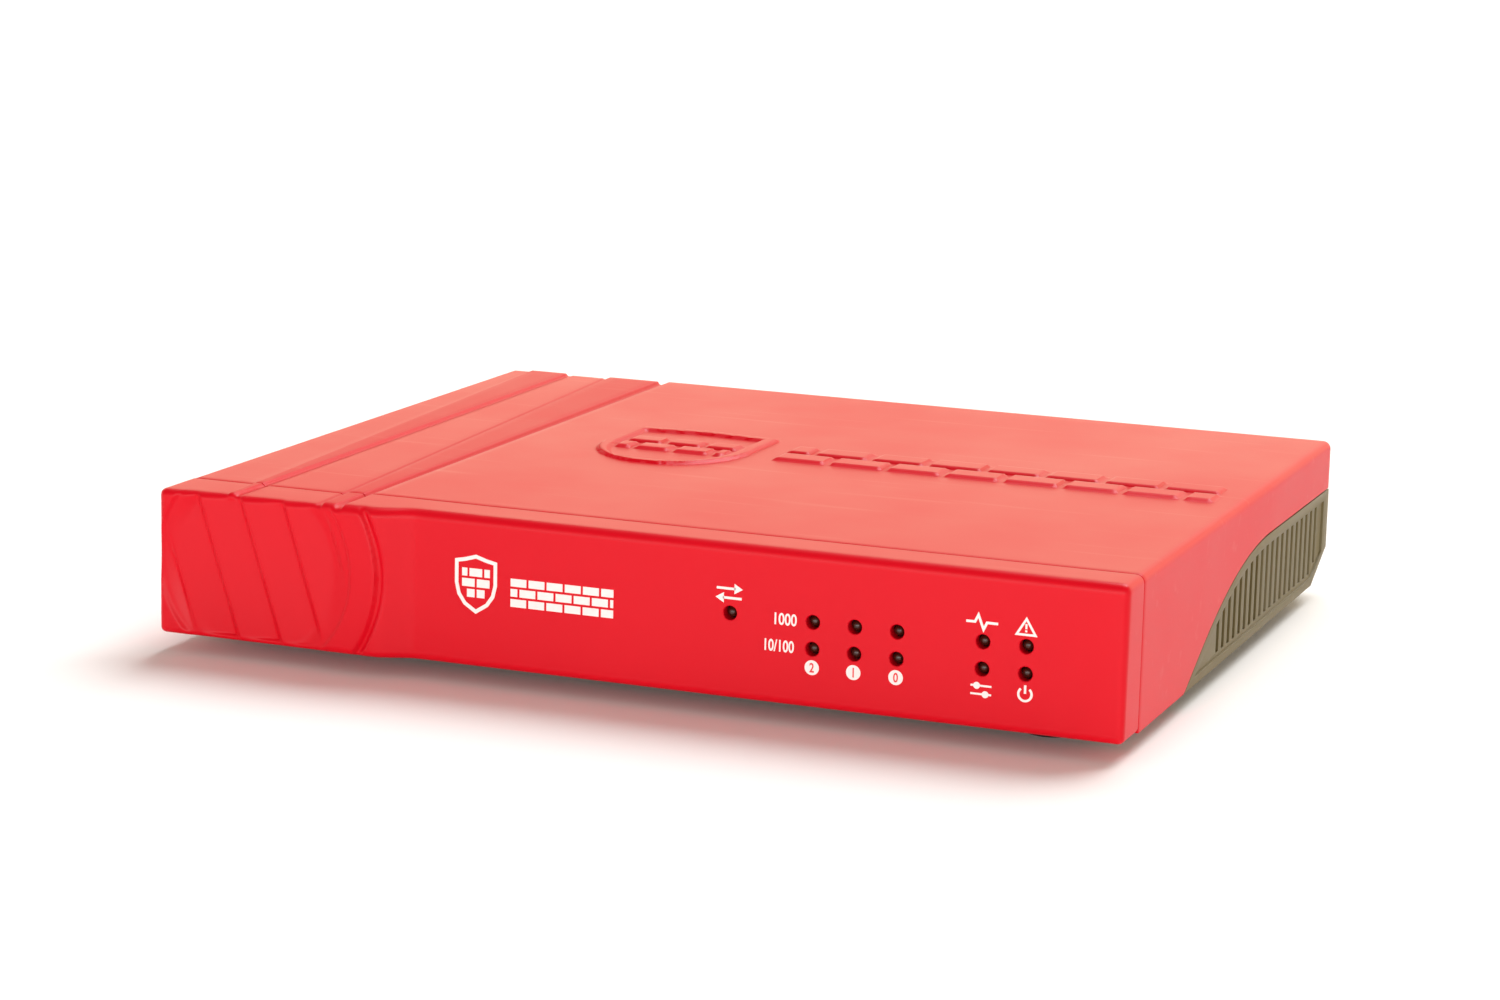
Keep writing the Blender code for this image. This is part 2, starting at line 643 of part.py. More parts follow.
def make_board_parts():
    make_chip("processor", PROCESSOR)
    make_heat_sink()
    make_chip("ethernet_switch_chip", SWITCH_CHIP)
    make_chip("memory_chip", MEMORY_CHIP)
    make_chip("flash_chip", FLASH_CHIP)
    make_chip("power_inductor", INDUCTOR, "3A3B3D")
    x, y = CAPACITOR_AT
    radius, height = CAPACITOR_SIZE
    edge = 0.5 * MM
    profile = [(radius, 0), (radius, height - edge), (radius - edge, height)]
    capacitor = turned("bulk_capacitor", profile, "z", (x, FRONT_Y + y, SEAT_Z), 28)
    paint(smooth(capacitor), "2B3040", 0.35)


def make_lights():
    """A holder for each column on the front edge of the board, with its lights looking out."""
    face_y = FRONT_Y + BEZEL_WALL + GAP
    columns = {}
    for column, name, x, z in light_places():
        columns.setdefault(column, []).append((name, x, z))
    for column, lights in columns.items():
        x = lights[0][1]
        top = lights[0][2] + HOLDER_CAP
        half = HOLDER_WIDTH / 2
        rear_y = face_y + HOLDER_DEPTH
        holder = box("light_holder_" + column, x - half, x + half, face_y, rear_y, SEAT_Z, top)
        pockets = []
        for name, x, z in lights:
            length = HOLDER_POCKET + GAP
            pocket_at = (x, face_y - GAP, z)
            pockets.append(cylinder("pocket", LIGHT_RADIUS + GAP, "y", pocket_at, length + GAP, 20))
        cut(holder, pockets)
        paint(holder, "161616", 0.55)
        for name, x, z in lights:
            tip_y = FRONT_Y + LIGHT_RECESS
            root_y = face_y + HOLDER_POCKET
            profile = [(LIGHT_RADIUS, 0)]
            for a, b in arc((0, root_y - tip_y - LIGHT_RADIUS), LIGHT_RADIUS, 0, 90, 5)[:-1]:
                profile.append((a, b))
            profile.append((0, root_y - tip_y))
            profile = [(radius, -height) for radius, height in profile]
            light = turned(name, profile, "y", (x, root_y, z), 20)
            paint(smooth(light), "50261B", 0.25)


# ---------------------------------------------------------------- rear panel and sockets
def socket_box(name, x, width, height, depth):
    """A block on the board that reaches back from the socket face."""
    return box(
        name, x - width / 2, x + width / 2, SOCKET_FACE_Y - depth, SOCKET_FACE_Y,
        SEAT_Z, SEAT_Z + height,
    )


def make_shell(name, x, width, height, depth):
    """Folded metal shell, open to the rear."""
    shell = socket_box(name, x, width, height, depth)
    hollow = box(
        "hollow", x - width / 2 + SHEET, x + width / 2 - SHEET,
        SOCKET_FACE_Y - depth + SHEET, SOCKET_FACE_Y + SHEET, SEAT_Z + SHEET, SEAT_Z + height - SHEET,
    )
    cut(shell, [hollow])
    return paint(shell, "C3C6C9", 0.28, 1)


def make_jack(name, x):
    """Eight-way modular jack: metal shell with a plastic insert."""
    make_shell(name + "_shell", x, JACK_WIDTH, JACK_HEIGHT, JACK_DEPTH)
    side = SHEET + GAP
    face_y = SOCKET_FACE_Y - GAP
    low = SEAT_Z + side
    top = SEAT_Z + JACK_HEIGHT - side
    insert = box(
        name + "_insert", x - JACK_WIDTH / 2 + side, x + JACK_WIDTH / 2 - side,
        SOCKET_FACE_Y - JACK_DEPTH + side, face_y, low, top,
    )
    notch_low = low + JACK_FLOOR
    plug_low = notch_low + LATCH_HEIGHT
    back = face_y - PLUG_DEPTH
    half = PLUG_WIDTH / 2
    plug = box("plug", x - half, x + half, back, face_y + GAP, plug_low, plug_low + PLUG_HEIGHT)
    half = LATCH_WIDTH / 2
    notch = box("notch", x - half, x + half, back, face_y + GAP, notch_low, plug_low + GAP)
    cut(insert, [plug, notch])
    return paint(insert, "17181A", 0.5)


def make_usb_socket():
    make_shell("usb_socket_shell", USB_X, USB_WIDTH, USB_HEIGHT, USB_DEPTH)
    side = SHEET + GAP
    width, thickness, length = USB_TONGUE
    back_y = SOCKET_FACE_Y - USB_DEPTH + side
    block_y = SOCKET_FACE_Y - GAP - length
    insert = box(
        "usb_socket_insert", USB_X - USB_WIDTH / 2 + side, USB_X + USB_WIDTH / 2 - side,
        back_y, block_y, SEAT_Z + side, SEAT_Z + USB_HEIGHT - side,
    )
    tongue_top = SEAT_Z + USB_HEIGHT - side - thickness / 2
    tongue = box(
        "tongue", USB_X - width / 2, USB_X + width / 2,
        block_y - GAP, SOCKET_FACE_Y - GAP, tongue_top - thickness, tongue_top,
    )
    join(insert, [tongue])
    return paint(insert, "E9E9E6", 0.5)


def make_dc_jack():
    body = socket_box("dc_jack_body", DC_X, DC_WIDTH, DC_HEIGHT, DC_DEPTH)
    z = SEAT_Z + DC_HEIGHT / 2
    bore_y = SOCKET_FACE_Y - DC_BORE_DEPTH
    bore = cylinder("bore", DC_BORE_RADIUS, "y", (DC_X, bore_y, z), DC_BORE_DEPTH + GAP, 32)
    root = cylinder("root", DC_PIN_RADIUS + GAP, "y", (DC_X, bore_y - 2 * WALL, z), 3 * WALL, 20)
    cut(body, [bore, root])
    paint(smooth(body), "151516", 0.45)
    start = bore_y - 2 * WALL + GAP
    end = SOCKET_FACE_Y - 2 * GAP
    edge = 0.3 * MM
    run = end - start
    profile = [(DC_PIN_RADIUS, 0), (DC_PIN_RADIUS, run - edge), (DC_PIN_RADIUS - edge, run)]
    pin = turned("dc_jack_pin", profile, "y", (DC_X, start, z), 20)
    return paint(smooth(pin), "C9CBCD", 0.25, 1)


def switch_z():
    return LOW_Z + SWITCH_RISE


def make_power_switch():
    """Rocker switch snapped into the rear panel; the rocker tips about an upright pin."""
    z = switch_z()
    width, height, thickness = SWITCH_FLANGE
    face_y = PANEL_REAR_Y + GAP + thickness
    body = box(
        "power_switch_body", SWITCH_X - width / 2, SWITCH_X + width / 2,
        PANEL_REAR_Y + GAP, face_y, z - height / 2, z + height / 2,
    )
    back_width, back_height, depth = SWITCH_BODY
    back = box(
        "back", SWITCH_X - back_width / 2, SWITCH_X + back_width / 2,
        PANEL_REAR_Y - depth, face_y - thickness / 2, z - back_height / 2, z + back_height / 2,
    )
    join(body, [back])
    pocket_half = ROCKER_RADIUS + GAP
    pivot_y = face_y - GAP
    pocket = box(
        "pocket", SWITCH_X - pocket_half, SWITCH_X + pocket_half,
        pivot_y - pocket_half, face_y + GAP,
        z - ROCKER_HEIGHT / 2 - GAP, z + ROCKER_HEIGHT / 2 + GAP,
    )
    cut(body, [pocket])
    paint(body, "141415", 0.4)
    outline = arc((0, 0), ROCKER_RADIUS, ROCKER_RIM, -180 - ROCKER_RIM, 20)
    outline.append((0, ROCKER_RADIUS * math.sin(math.radians(ROCKER_RIM)) / 2))
    rocker = prism("power_switch_rocker", outline, "z", -ROCKER_HEIGHT / 2, ROCKER_HEIGHT / 2)
    rocker.data.transform(Matrix.Rotation(math.radians(-ROCKER_TILT), 4, "Z"))
    rocker.location = (SWITCH_X, pivot_y, z)
    smooth(rocker, 25)
    return paint(rocker, "1C1C1E", 0.35)


def reset_z():
    return SEAT_Z + RESET_BODY[1] / 2


def make_reset_switch():
    """Push switch on the board behind a small hole; its button slides towards the front."""
    width, height, depth = RESET_BODY
    z = reset_z()
    face_y = PANEL_INNER_Y - RESET_REACH
    body = box(
        "reset_switch_body", RESET_X - width / 2, RESET_X + width / 2,
        face_y - depth, face_y, z - height / 2, z + height / 2,
    )
    pocket_depth = RESET_STEM + RESET_TRAVEL + GAP
    pocket_at = (RESET_X, face_y - pocket_depth, z)
    pocket = cylinder("pocket", RESET_RADIUS + GAP, "y", pocket_at, pocket_depth + GAP)
    cut(body, [pocket])
    paint(body, "20201F", 0.5)
    start = face_y - RESET_STEM
    length = PANEL_REAR_Y - RESET_RECESS - start
    edge = 0.2 * MM
    profile = [(RESET_RADIUS, 0), (RESET_RADIUS, length - edge), (RESET_RADIUS - edge, length)]
    button = turned("reset_button", profile, "y", (0, 0, 0))
    button.location = (RESET_X, start, z)
    return paint(smooth(button), "D8D6CF", 0.45)


def make_rear_panel():
    half = HALF - SIDE_THICKNESS - GAP
    item = box("rear_panel", -half, half, PANEL_INNER_Y, PANEL_REAR_Y, PANEL_LOW_Z, CEILING_Z - GAP)
    near = PANEL_INNER_Y - WALL
    far = PANEL_REAR_Y + WALL
    windows = []

    def window(x, width, low, height):
        windows.append(box(
            "window", x - width / 2 - GAP, x + width / 2 + GAP, near, far,
            low - GAP, low + height + GAP,
        ))

    for x in list(ETHERNET_X.values()) + [CONSOLE_X]:
        window(x, JACK_WIDTH, SEAT_Z, JACK_HEIGHT)
    window(USB_X, USB_WIDTH, SEAT_Z, USB_HEIGHT)
    window(DC_X, DC_WIDTH, SEAT_Z, DC_HEIGHT)
    width, height, depth = SWITCH_BODY
    window(SWITCH_X, width, switch_z() - height / 2, height)
    width, height = LOCK_SLOT
    window(LOCK_X, width - 2 * GAP, switch_z() - height / 2, height - 2 * GAP)
    windows.append(cylinder("hole", RESET_HOLE_RADIUS, "y", (RESET_X, near, reset_z()), far - near))
    cut(item, windows)
    return paint(item, "4A4743", 0.6)


def build():
    clear_scene()
    make_base_case()
    make_top_cover()
    make_front_bezel()
    make_rear_panel()
    make_feet()
    make_screws()
    make_main_board()
    make_board_parts()
    make_lights()
    for port, x in ETHERNET_X.items():
        make_jack("ethernet_jack_" + port, x)
    make_jack("console_jack", CONSOLE_X)
    make_usb_socket()
    make_dc_jack()
    make_power_switch()
    make_reset_switch()


build()
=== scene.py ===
# %% [markdown]
# A desktop firewall appliance. A red moulded cover and bezel sit on a grey-brown vented base, with
# indicator lights in front and sockets behind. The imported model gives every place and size; this
# script gives the surfaces. Each part below says what the real piece is, how it could be made in
# Blender, and why one way was chosen.

# %% [markdown]
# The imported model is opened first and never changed. It works like a jig: each finished piece is
# built on it, stands in for one of its parts, and moves with the same body.

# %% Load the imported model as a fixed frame
import json
import math

import bmesh
import bpy
from mathutils import Matrix, Vector

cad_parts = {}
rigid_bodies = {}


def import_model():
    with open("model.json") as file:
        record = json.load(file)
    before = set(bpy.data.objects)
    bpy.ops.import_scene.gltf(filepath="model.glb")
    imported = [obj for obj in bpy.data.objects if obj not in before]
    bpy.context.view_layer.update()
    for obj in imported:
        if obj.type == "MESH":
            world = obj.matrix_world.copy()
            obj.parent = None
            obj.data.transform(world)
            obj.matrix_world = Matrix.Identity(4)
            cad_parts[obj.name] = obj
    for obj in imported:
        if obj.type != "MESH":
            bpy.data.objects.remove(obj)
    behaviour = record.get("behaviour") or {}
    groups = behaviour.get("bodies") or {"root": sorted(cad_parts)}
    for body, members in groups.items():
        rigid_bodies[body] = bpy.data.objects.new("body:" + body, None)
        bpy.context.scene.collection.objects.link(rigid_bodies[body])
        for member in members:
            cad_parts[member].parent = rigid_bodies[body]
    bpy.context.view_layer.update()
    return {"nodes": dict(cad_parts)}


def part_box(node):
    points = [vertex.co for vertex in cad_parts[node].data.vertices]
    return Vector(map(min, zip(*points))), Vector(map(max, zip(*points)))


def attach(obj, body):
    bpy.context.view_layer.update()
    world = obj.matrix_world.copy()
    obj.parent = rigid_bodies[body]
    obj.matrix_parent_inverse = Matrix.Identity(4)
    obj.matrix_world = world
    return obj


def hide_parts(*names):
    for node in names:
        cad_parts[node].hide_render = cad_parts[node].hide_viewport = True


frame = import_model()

MM = 0.001

# %% [markdown]
# The main planes of the case are read from the frame instead of being typed in again. If the case
# changes size, the skin drawn over it follows.

# %% Places taken from the frame
cover_low, cover_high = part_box("top_cover")
bezel_low, bezel_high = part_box("front_bezel")
base_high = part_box("base_case")[1]
panel_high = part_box("rear_panel")[1]
LEFT_X = cover_low.x
RIGHT_X = cover_high.x
TOP_Z = bezel_high.z
LOW_Z = bezel_low.z
SEAM_Y = bezel_high.y
REAR_Y = base_high.y
PANEL_STEP = 2.8 * MM            # the fluted panel stands this far in front of the flat face
FACE_Y = bezel_low.y + PANEL_STEP
WALL = 2 * MM
GAP = 0.3 * MM                   # between the bezel and the cover
print("front face at y =", round(FACE_Y / MM, 2), "mm; seam at", round(SEAM_Y / MM, 2), "mm")


# %% [markdown]
# Every colour is written as the six-digit code that a paint program shows. The renderer works
# with linear light, so one function turns the code into linear numbers.

# %% Colour codes to linear light
COVER_RED = "D8001A"


def from_hex(code):
    """Undo the sRGB curve: a short straight part near black, then a power of 2.4."""
    channels = []
    for start in (0, 2, 4):
        value = int(code[start:start + 2], 16) / 255
        linear = value / 12.92 if value <= 0.04045 else ((value + 0.055) / 1.055) ** 2.4
        channels.append(linear)
    return (*channels, 1)


print("cover red in linear light:", [round(value, 3) for value in from_hex(COVER_RED)])


# %% [markdown]
# A material is a small graph of nodes. One function adds a node, sets its fields and sockets,
# and links its inputs, so each material reads as a short list. Patterns are laid out in object
# coordinates, which are metres on the real thing, so a scale of one over a length repeats about
# once in that length.

# %% A function that adds one node
def add(tree, kind, fields=None, sockets=None, links=None):
    node = tree.nodes.new(kind)
    for name, value in (fields or {}).items():
        setattr(node, name, value)
    for name, value in (sockets or {}).items():
        node.inputs[name].default_value = value
    for name, source in (links or {}).items():
        tree.links.new(source, node.inputs[name])
    return node


def new_material(name, **sockets):
    """A named material; constants go straight on the shader's own sockets."""
    material = bpy.data.materials.new(name)
    material.use_nodes = True
    shader = material.node_tree.nodes["Principled BSDF"]
    for socket, value in sockets.items():
        shader.inputs[socket.replace("_", " ")].default_value = value
    return material, material.node_tree, shader


print("helper functions are ready")


# %% [markdown]
# The case is ABS, injection moulded in a spark-eroded tool. The tool leaves a fine even grain of
# about 0.15 mm pits, which turns a gloss plastic satin. That grain is too fine to show from half a
# metre away, so it is drawn at 0.35 mm. Shrinkage in the mould leaves slow changes in sheen and a
# faint change in colour over a few centimetres. Handling polishes the grain in faint long rubs.

# %% Moulded ABS, for the red case and the grey-brown base
GRAIN_MM = 0.35
SCUFF_MM = 40                    # length of a rub
SCUFF_STRETCH = 14               # a rub is this many times longer than wide
SCUFF_TURN = 0.5                 # rubs run this many radians off the case's long side
SCUFF_POLISH = -0.04             # roughness taken off where a rub is strongest
SHEEN_SPREAD = 0.03              # roughness varies this much either way
DULL_EXTRA = 0.06                # roughness added on the coarser ribbons
PIT_DEPTH = 0.05 * MM


def moulded_abs(name, hex_light, hex_dark, rough, gloss=0.35, grain=0.08, cloud_mm=45.0):
    """Two close tones in slow clouds, faint long rubs, and a fine grain as bump."""
    material, tree, shader = new_material(name, IOR=1.54, Specular_IOR_Level=gloss)
    spot = add(tree, "ShaderNodeTexCoord").outputs["Object"]
    cloud = add(
        tree, "ShaderNodeTexNoise",
        sockets={"Scale": 1 / (cloud_mm * MM), "Detail": 3.0, "Roughness": 0.6},
        links={"Vector": spot},
    )
    pits = add(
        tree, "ShaderNodeTexNoise",
        sockets={"Scale": 1 / (GRAIN_MM * MM), "Detail": 2.0, "Roughness": 0.55},
        links={"Vector": spot},
    )
    tone = add(
        tree, "ShaderNodeMix", fields={"data_type": "RGBA"},
        sockets={"A": from_hex(hex_dark), "B": from_hex(hex_light)},
    )
    tree.links.new(cloud.outputs["Fac"], tone.inputs["Factor"])
    tree.links.new(tone.outputs["Result"], shader.inputs["Base Color"])
    sheen = add(
        tree, "ShaderNodeMapRange",
        sockets={
            "From Min": 0.3, "From Max": 0.7,
            "To Min": rough - SHEEN_SPREAD, "To Max": rough + SHEEN_SPREAD,
        },
        links={"Value": cloud.outputs["Fac"]},
    )
    streaks = add(
        tree, "ShaderNodeMapping",
        sockets={"Rotation": (0, 0, SCUFF_TURN), "Scale": (1, SCUFF_STRETCH, SCUFF_STRETCH)},
        links={"Vector": spot},
    )
    rubs = add(
        tree, "ShaderNodeTexNoise",
        sockets={"Scale": 1 / (SCUFF_MM * MM), "Detail": 2.0, "Roughness": 0.5},
        links={"Vector": streaks.outputs["Vector"]},
    )
    polish = add(
        tree, "ShaderNodeMapRange",
        sockets={"From Min": 0.62, "From Max": 0.74, "To Min": 0.0, "To Max": SCUFF_POLISH},
        links={"Value": rubs.outputs["Fac"]},
    )
    handled = add(
        tree, "ShaderNodeMath", fields={"operation": "ADD"},
        links={0: sheen.outputs["Result"], 1: polish.outputs["Result"]},
    )
    dull = add(tree, "ShaderNodeAttribute", fields={"attribute_name": "dull"})
    duller = add(
        tree, "ShaderNodeMath", fields={"operation": "MULTIPLY_ADD"},
        sockets={1: DULL_EXTRA}, links={0: dull.outputs["Fac"], 2: handled.outputs[0]},
    )
    tree.links.new(duller.outputs[0], shader.inputs["Roughness"])
    bump = add(
        tree, "ShaderNodeBump",
        sockets={"Strength": grain, "Distance": PIT_DEPTH},
        links={"Height": pits.outputs["Fac"]},
    )
    tree.links.new(bump.outputs["Normal"], shader.inputs["Normal"])
    return material


# Red pigment through the plastic: satin, with little mirror at a steep look, so the front stays red.
red_abs = moulded_abs("moulded_red_abs", COVER_RED, "CF0018", 0.38, 0.17)
# A grey-brown grade of the same plastic from a coarser tool: matt, so its slots read clearly.
taupe_abs = moulded_abs("moulded_taupe_abs", "6E613C", "635733", 0.5)
# The rear panel's plastic: a warm dark grey that lets the metal sockets stand out.
dark_abs = moulded_abs("moulded_dark_grey_abs", "4E4B47", "45423E", 0.52)
print("ABS grain drawn at", GRAIN_MM, "mm")


# %% [markdown]
# The small parts are nylon, rubber, plated metal, epoxy and ink. Each has one colour with a fine
# mottling in tone and in sheen, at the size its real surface shows: plating at a couple of
# millimetres, moulding grain below one.

# %% Plain finishes for the small parts
def plain(name, code, rough, speckle=0.06, scale_mm=1.2, metallic=0.0, **sockets):
    """One colour with a fine mottling in tone and sheen."""
    material, tree, shader = new_material(name, Metallic=metallic, **sockets)
    spot = add(tree, "ShaderNodeTexCoord").outputs["Object"]
    grain = add(
        tree, "ShaderNodeTexNoise",
        sockets={"Scale": 1 / (scale_mm * MM), "Detail": 4.0, "Roughness": 0.6},
        links={"Vector": spot},
    )
    colour = from_hex(code)
    darker = tuple(value * (1 - 2 * speckle) for value in colour[:3]) + (1,)
    tone = add(
        tree, "ShaderNodeMix", fields={"data_type": "RGBA"},
        sockets={"A": darker, "B": colour},
    )
    tree.links.new(grain.outputs["Fac"], tone.inputs["Factor"])
    tree.links.new(tone.outputs["Result"], shader.inputs["Base Color"])
    sheen = add(
        tree, "ShaderNodeMapRange",
        sockets={"From Min": 0.3, "From Max": 0.7, "To Min": rough * 0.85, "To Max": rough * 1.15},
        links={"Value": grain.outputs["Fac"]},
    )
    tree.links.new(sheen.outputs["Result"], shader.inputs["Roughness"])
    return material


# Opaque ink, a touch warm because the red below shows through its thinnest spots.
white_ink = plain("pad_printed_white_ink", "FBE9E6", 0.45, 0.02, 0.6)
# The red case seen where the ink leaves a figure open.
red_ink = plain("bare_red_in_printed_disc", "E01A26", 0.45, 0.02, 0.6)
# Injection moulded nylon: dark and satin, so the sockets read as deep holes.
black_nylon = plain("moulded_black_nylon", "161617", 0.5, 0.08, 0.8, IOR=1.53)
# The same plastic unpigmented but for a little white: a warm, waxy look.
white_nylon = plain("moulded_white_nylon", "E7E4DD", 0.42, 0.03, 0.8, IOR=1.53)
# Compression moulded rubber: black, nearly without sheen, slightly dusty.
foot_rubber = plain("moulded_black_rubber", "1B1B1C", 0.82, 0.12, 0.7, IOR=1.52)
# Stamped steel strip with bright nickel: a clear but softly blurred mirror.
nickel_steel = plain("nickel_plated_steel", "C9CACB", 0.27, 0.05, 2.0, metallic=1.0)
# Zinc plating is greyer and more uneven than nickel.
zinc_steel = plain("zinc_plated_steel", "B7BABE", 0.34, 0.07, 0.9, metallic=1.0)
# Spring bronze with a thin gold plating: small warm glints.
gold_plate = plain("gold_plated_bronze", "E3B65A", 0.22, 0.04, 0.9, metallic=1.0)
# Extruded fins keep fine die lines, which blur their reflections.
extruded_aluminium = plain("extruded_aluminium", "B5B8BB", 0.38, 0.06, 1.0, metallic=1.0)
# Chips are transfer moulded in black epoxy full of glass powder: a fine matt speckle.
chip_epoxy = plain("moulded_chip_epoxy", "1C1C1E", 0.48, 0.1, 0.4)
# A soft gap pad, cast in sheets: pale blue and quite matt.
silicone_pad = plain("soft_silicone_pad", "9FB4C4", 0.8, 0.06, 0.8)
# Plastic film shrunk round the capacitor's can: dark and glossy.
sleeve_film = plain("shrunk_polymer_sleeve", "2B3040", 0.28, 0.05, 1.5)
# Unlit lamps cast in tinted epoxy: almost black, with a brown tinge in the light.
lamp_epoxy = plain("tinted_lamp_epoxy", "3A150C", 0.3, 0.08, 0.8, IOR=1.5)
# Capacitors are fired ceramic: a sandy brown with a dry surface.
ceramic = plain("fired_ceramic", "B89468", 0.5, 0.06, 0.5)
print("finishes made:", len(bpy.data.materials))


# %% [markdown]
# Most pieces start as flat lists of points and faces. These helpers turn such lists into an
# object, give it a material and tie it to the moving body it belongs to.

# %% Helpers that make pieces
def finish_piece(item, material, body="chassis", replaces=(), angle=35):
    """Give a piece its material and smooth shading, and tie it to its moving body."""
    item.data.materials.clear()
    item.data.materials.append(material)
    item.data.shade_smooth()
    item.data.set_sharp_from_angle(angle=math.radians(angle))
    if replaces:
        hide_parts(*replaces)
    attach(item, body)
    return item


def from_bmesh(name, bm):
    """Turn a list of points and faces into an object, with every face looking outward."""
    bmesh.ops.recalc_face_normals(bm, faces=bm.faces)
    mesh = bpy.data.meshes.new(name)
    bm.to_mesh(mesh)
    bm.free()
    item = bpy.data.objects.new(name, mesh)
    bpy.context.collection.objects.link(item)
    return item


def ramp(value, low, high):
    """0 below low, 1 above high, and a smooth rise between them."""
    t = min(max((value - low) / (high - low), 0.0), 1.0)
    return t * t * (3 - 2 * t)


def spread(first, last, step):
    """Evenly spaced values from first to last, about one step apart."""
    count = max(1, round(abs(last - first) / step))
    return [first + (last - first) * i / count for i in range(count + 1)]


print("piece helpers are ready")


# %% [markdown]
# Moulded ribbons run back from the front edge across the left of the cover. Each is a field at its
# own level, bounded by straight lines that fan out towards the rear. A list of those lines, with
# the level to the right of each, describes the whole relief. The cover and the bezel both read it.

# %% Ribbons on top, as lines and levels
# each line: mm from the left side at the front face, the same at the rear rim, level to its right
RIBBONS = [
    (14.4, 5.2, -0.15),
    (15.8, 14.0, -0.7),
    (17.0, 15.3, -0.5),
    (33.0, 23.0, -0.7),
    (34.2, 24.3, -0.1),
    (37.2, 36.4, -0.8),
    (38.5, 38.6, 0.0),
]
RIBBON_START_LEVEL = -0.5        # level of the first field, at the left side, mm
RIBBON_SLOPE = 0.7               # width of each step, mm
DULL_EDGE = 0.3 * MM             # half of the width over which the sheen changes
DULL_RIBBONS = [(0, 1), (4, 5)]  # pairs of lines between which the tool was left coarser
CASE_DEPTH = REAR_Y - FACE_Y


def ribbon_line(line, y):
    """Where one line lies across the case, at a place along its depth."""
    front, rear, _ = line
    share = (y - FACE_Y) / CASE_DEPTH
    return LEFT_X + (front + (rear - front) * share) * MM


def top_relief(x, y):
    """Height of the ribbon relief above the plain top, in metres."""
    level = RIBBON_START_LEVEL
    before = RIBBON_START_LEVEL
    for line in RIBBONS:
        middle = ribbon_line(line, y)
        rise = ramp(x, middle - RIBBON_SLOPE * MM / 2, middle + RIBBON_SLOPE * MM / 2)
        level += (line[2] - before) * rise
        before = line[2]
    return level * MM


def dullness(x, y):
    """1 on the ribbons that the tool left coarser, 0 elsewhere."""
    value = 0.0
    for first, second in DULL_RIBBONS:
        start = ribbon_line(RIBBONS[first], y)
        end = ribbon_line(RIBBONS[second], y)
        after_start = ramp(x, start - DULL_EDGE, start + DULL_EDGE)
        before_end = 1 - ramp(x, end - DULL_EDGE, end + DULL_EDGE)
        value = max(value, after_start * before_end)
    return value


for x in (2, 12, 20, 30, 38, 60):
    print("ribbon level", x, "mm from the left:", round(top_relief(LEFT_X + x * MM, 0) / MM, 2), "mm")


# %% [markdown]
# A low emblem is moulded on the cover: a plain shield and beside it two courses of bricks, the
# usual sign for a firewall. Both are drawn as distances to an outline. Where the distance is
# negative the surface stands 0.55 mm proud, with a soft edge as a mould leaves it.

# %% The raised emblem on the cover
EMBLEM_HEIGHT = 0.55 * MM
EMBLEM_EDGE = 0.3 * MM
SHIELD_X = LEFT_X + 71 * MM
SHIELD_Y = FACE_Y + 80 * MM
SHIELD_WIDTH = 31 * MM
SHIELD_HEIGHT = 36 * MM
SHOULDER_FALL = 0.12             # how fast the shield's top falls away from its middle
RIM_WIDTH = 2.6 * MM
RIM_CLEARANCE = 1.2 * MM         # plain strip between the shield's rim and its bricks
SHIELD_BRICKS_LOW = SHIELD_Y - 4.6 * MM
SHIELD_BRICKS_HIGH = SHIELD_Y + 6.6 * MM
SHIELD_BRICK_LENGTH = 8.4 * MM
BRICK_FIRST_X = LEFT_X + 93 * MM
BRICK_LAST_X = LEFT_X + 182 * MM
BRICK_LOW_Y = FACE_Y + 77 * MM
BRICK_HIGH_Y = FACE_Y + 91 * MM
BRICK_LENGTH = 12 * MM
JOINT = 1.7 * MM


def shield_distance(x, y, grow=0.0):
    """Roughly how far a point lies outside the shield; negative inside."""
    half = SHIELD_WIDTH / 2 + grow
    up = (y - SHIELD_Y) / (SHIELD_HEIGHT / 2)
    side = abs(x - SHIELD_X)
    taper = half if up > 0 else half * math.sqrt(max(0.0, 1 - up * up))
    top = y - (SHIELD_Y + SHIELD_HEIGHT / 2 + grow - SHOULDER_FALL * side)
    bottom = (SHIELD_Y - SHIELD_HEIGHT / 2 - grow) - y
    return max(side - taper, top, bottom)


def box_distance(x, y, x0, x1, y0, y1):
    """How far a point lies outside a rectangle; negative inside."""
    return max(x0 - x, x - x1, y0 - y, y - y1)


def brick_distance(x, y, x0, x1, y0, y1, length, joint):
    """Distance to the nearest brick of two courses laid with their joints staggered."""
    nearest = 1.0
    middle = (y0 + y1) / 2
    for course, (low, high) in enumerate(((y0, middle - joint / 2), (middle + joint / 2, y1))):
        start = x0 - (length / 2 if course else 0)
        while start < x1:
            left = max(start, x0)
            right = min(start + length - joint, x1)
            if right - left > joint:
                nearest = min(nearest, box_distance(x, y, left, right, low, high))
            start += length
    return nearest


def emblem_relief(x, y):
    """Height of the emblem at a place on the cover, in metres."""
    outer = shield_distance(x, y)
    inner = shield_distance(x, y, -RIM_WIDTH)
    rim = max(outer, -inner)
    courses = brick_distance(
        x, y, SHIELD_X - SHIELD_WIDTH / 2, SHIELD_X + SHIELD_WIDTH / 2,
        SHIELD_BRICKS_LOW, SHIELD_BRICKS_HIGH, SHIELD_BRICK_LENGTH, JOINT,
    )
    core = max(shield_distance(x, y, -RIM_WIDTH - RIM_CLEARANCE), courses)
    wall = brick_distance(
        x, y, BRICK_FIRST_X, BRICK_LAST_X, BRICK_LOW_Y, BRICK_HIGH_Y, BRICK_LENGTH, JOINT,
    )
    distance = min(rim, core, wall)
    return EMBLEM_HEIGHT * (1 - ramp(distance, -EMBLEM_EDGE, EMBLEM_EDGE))


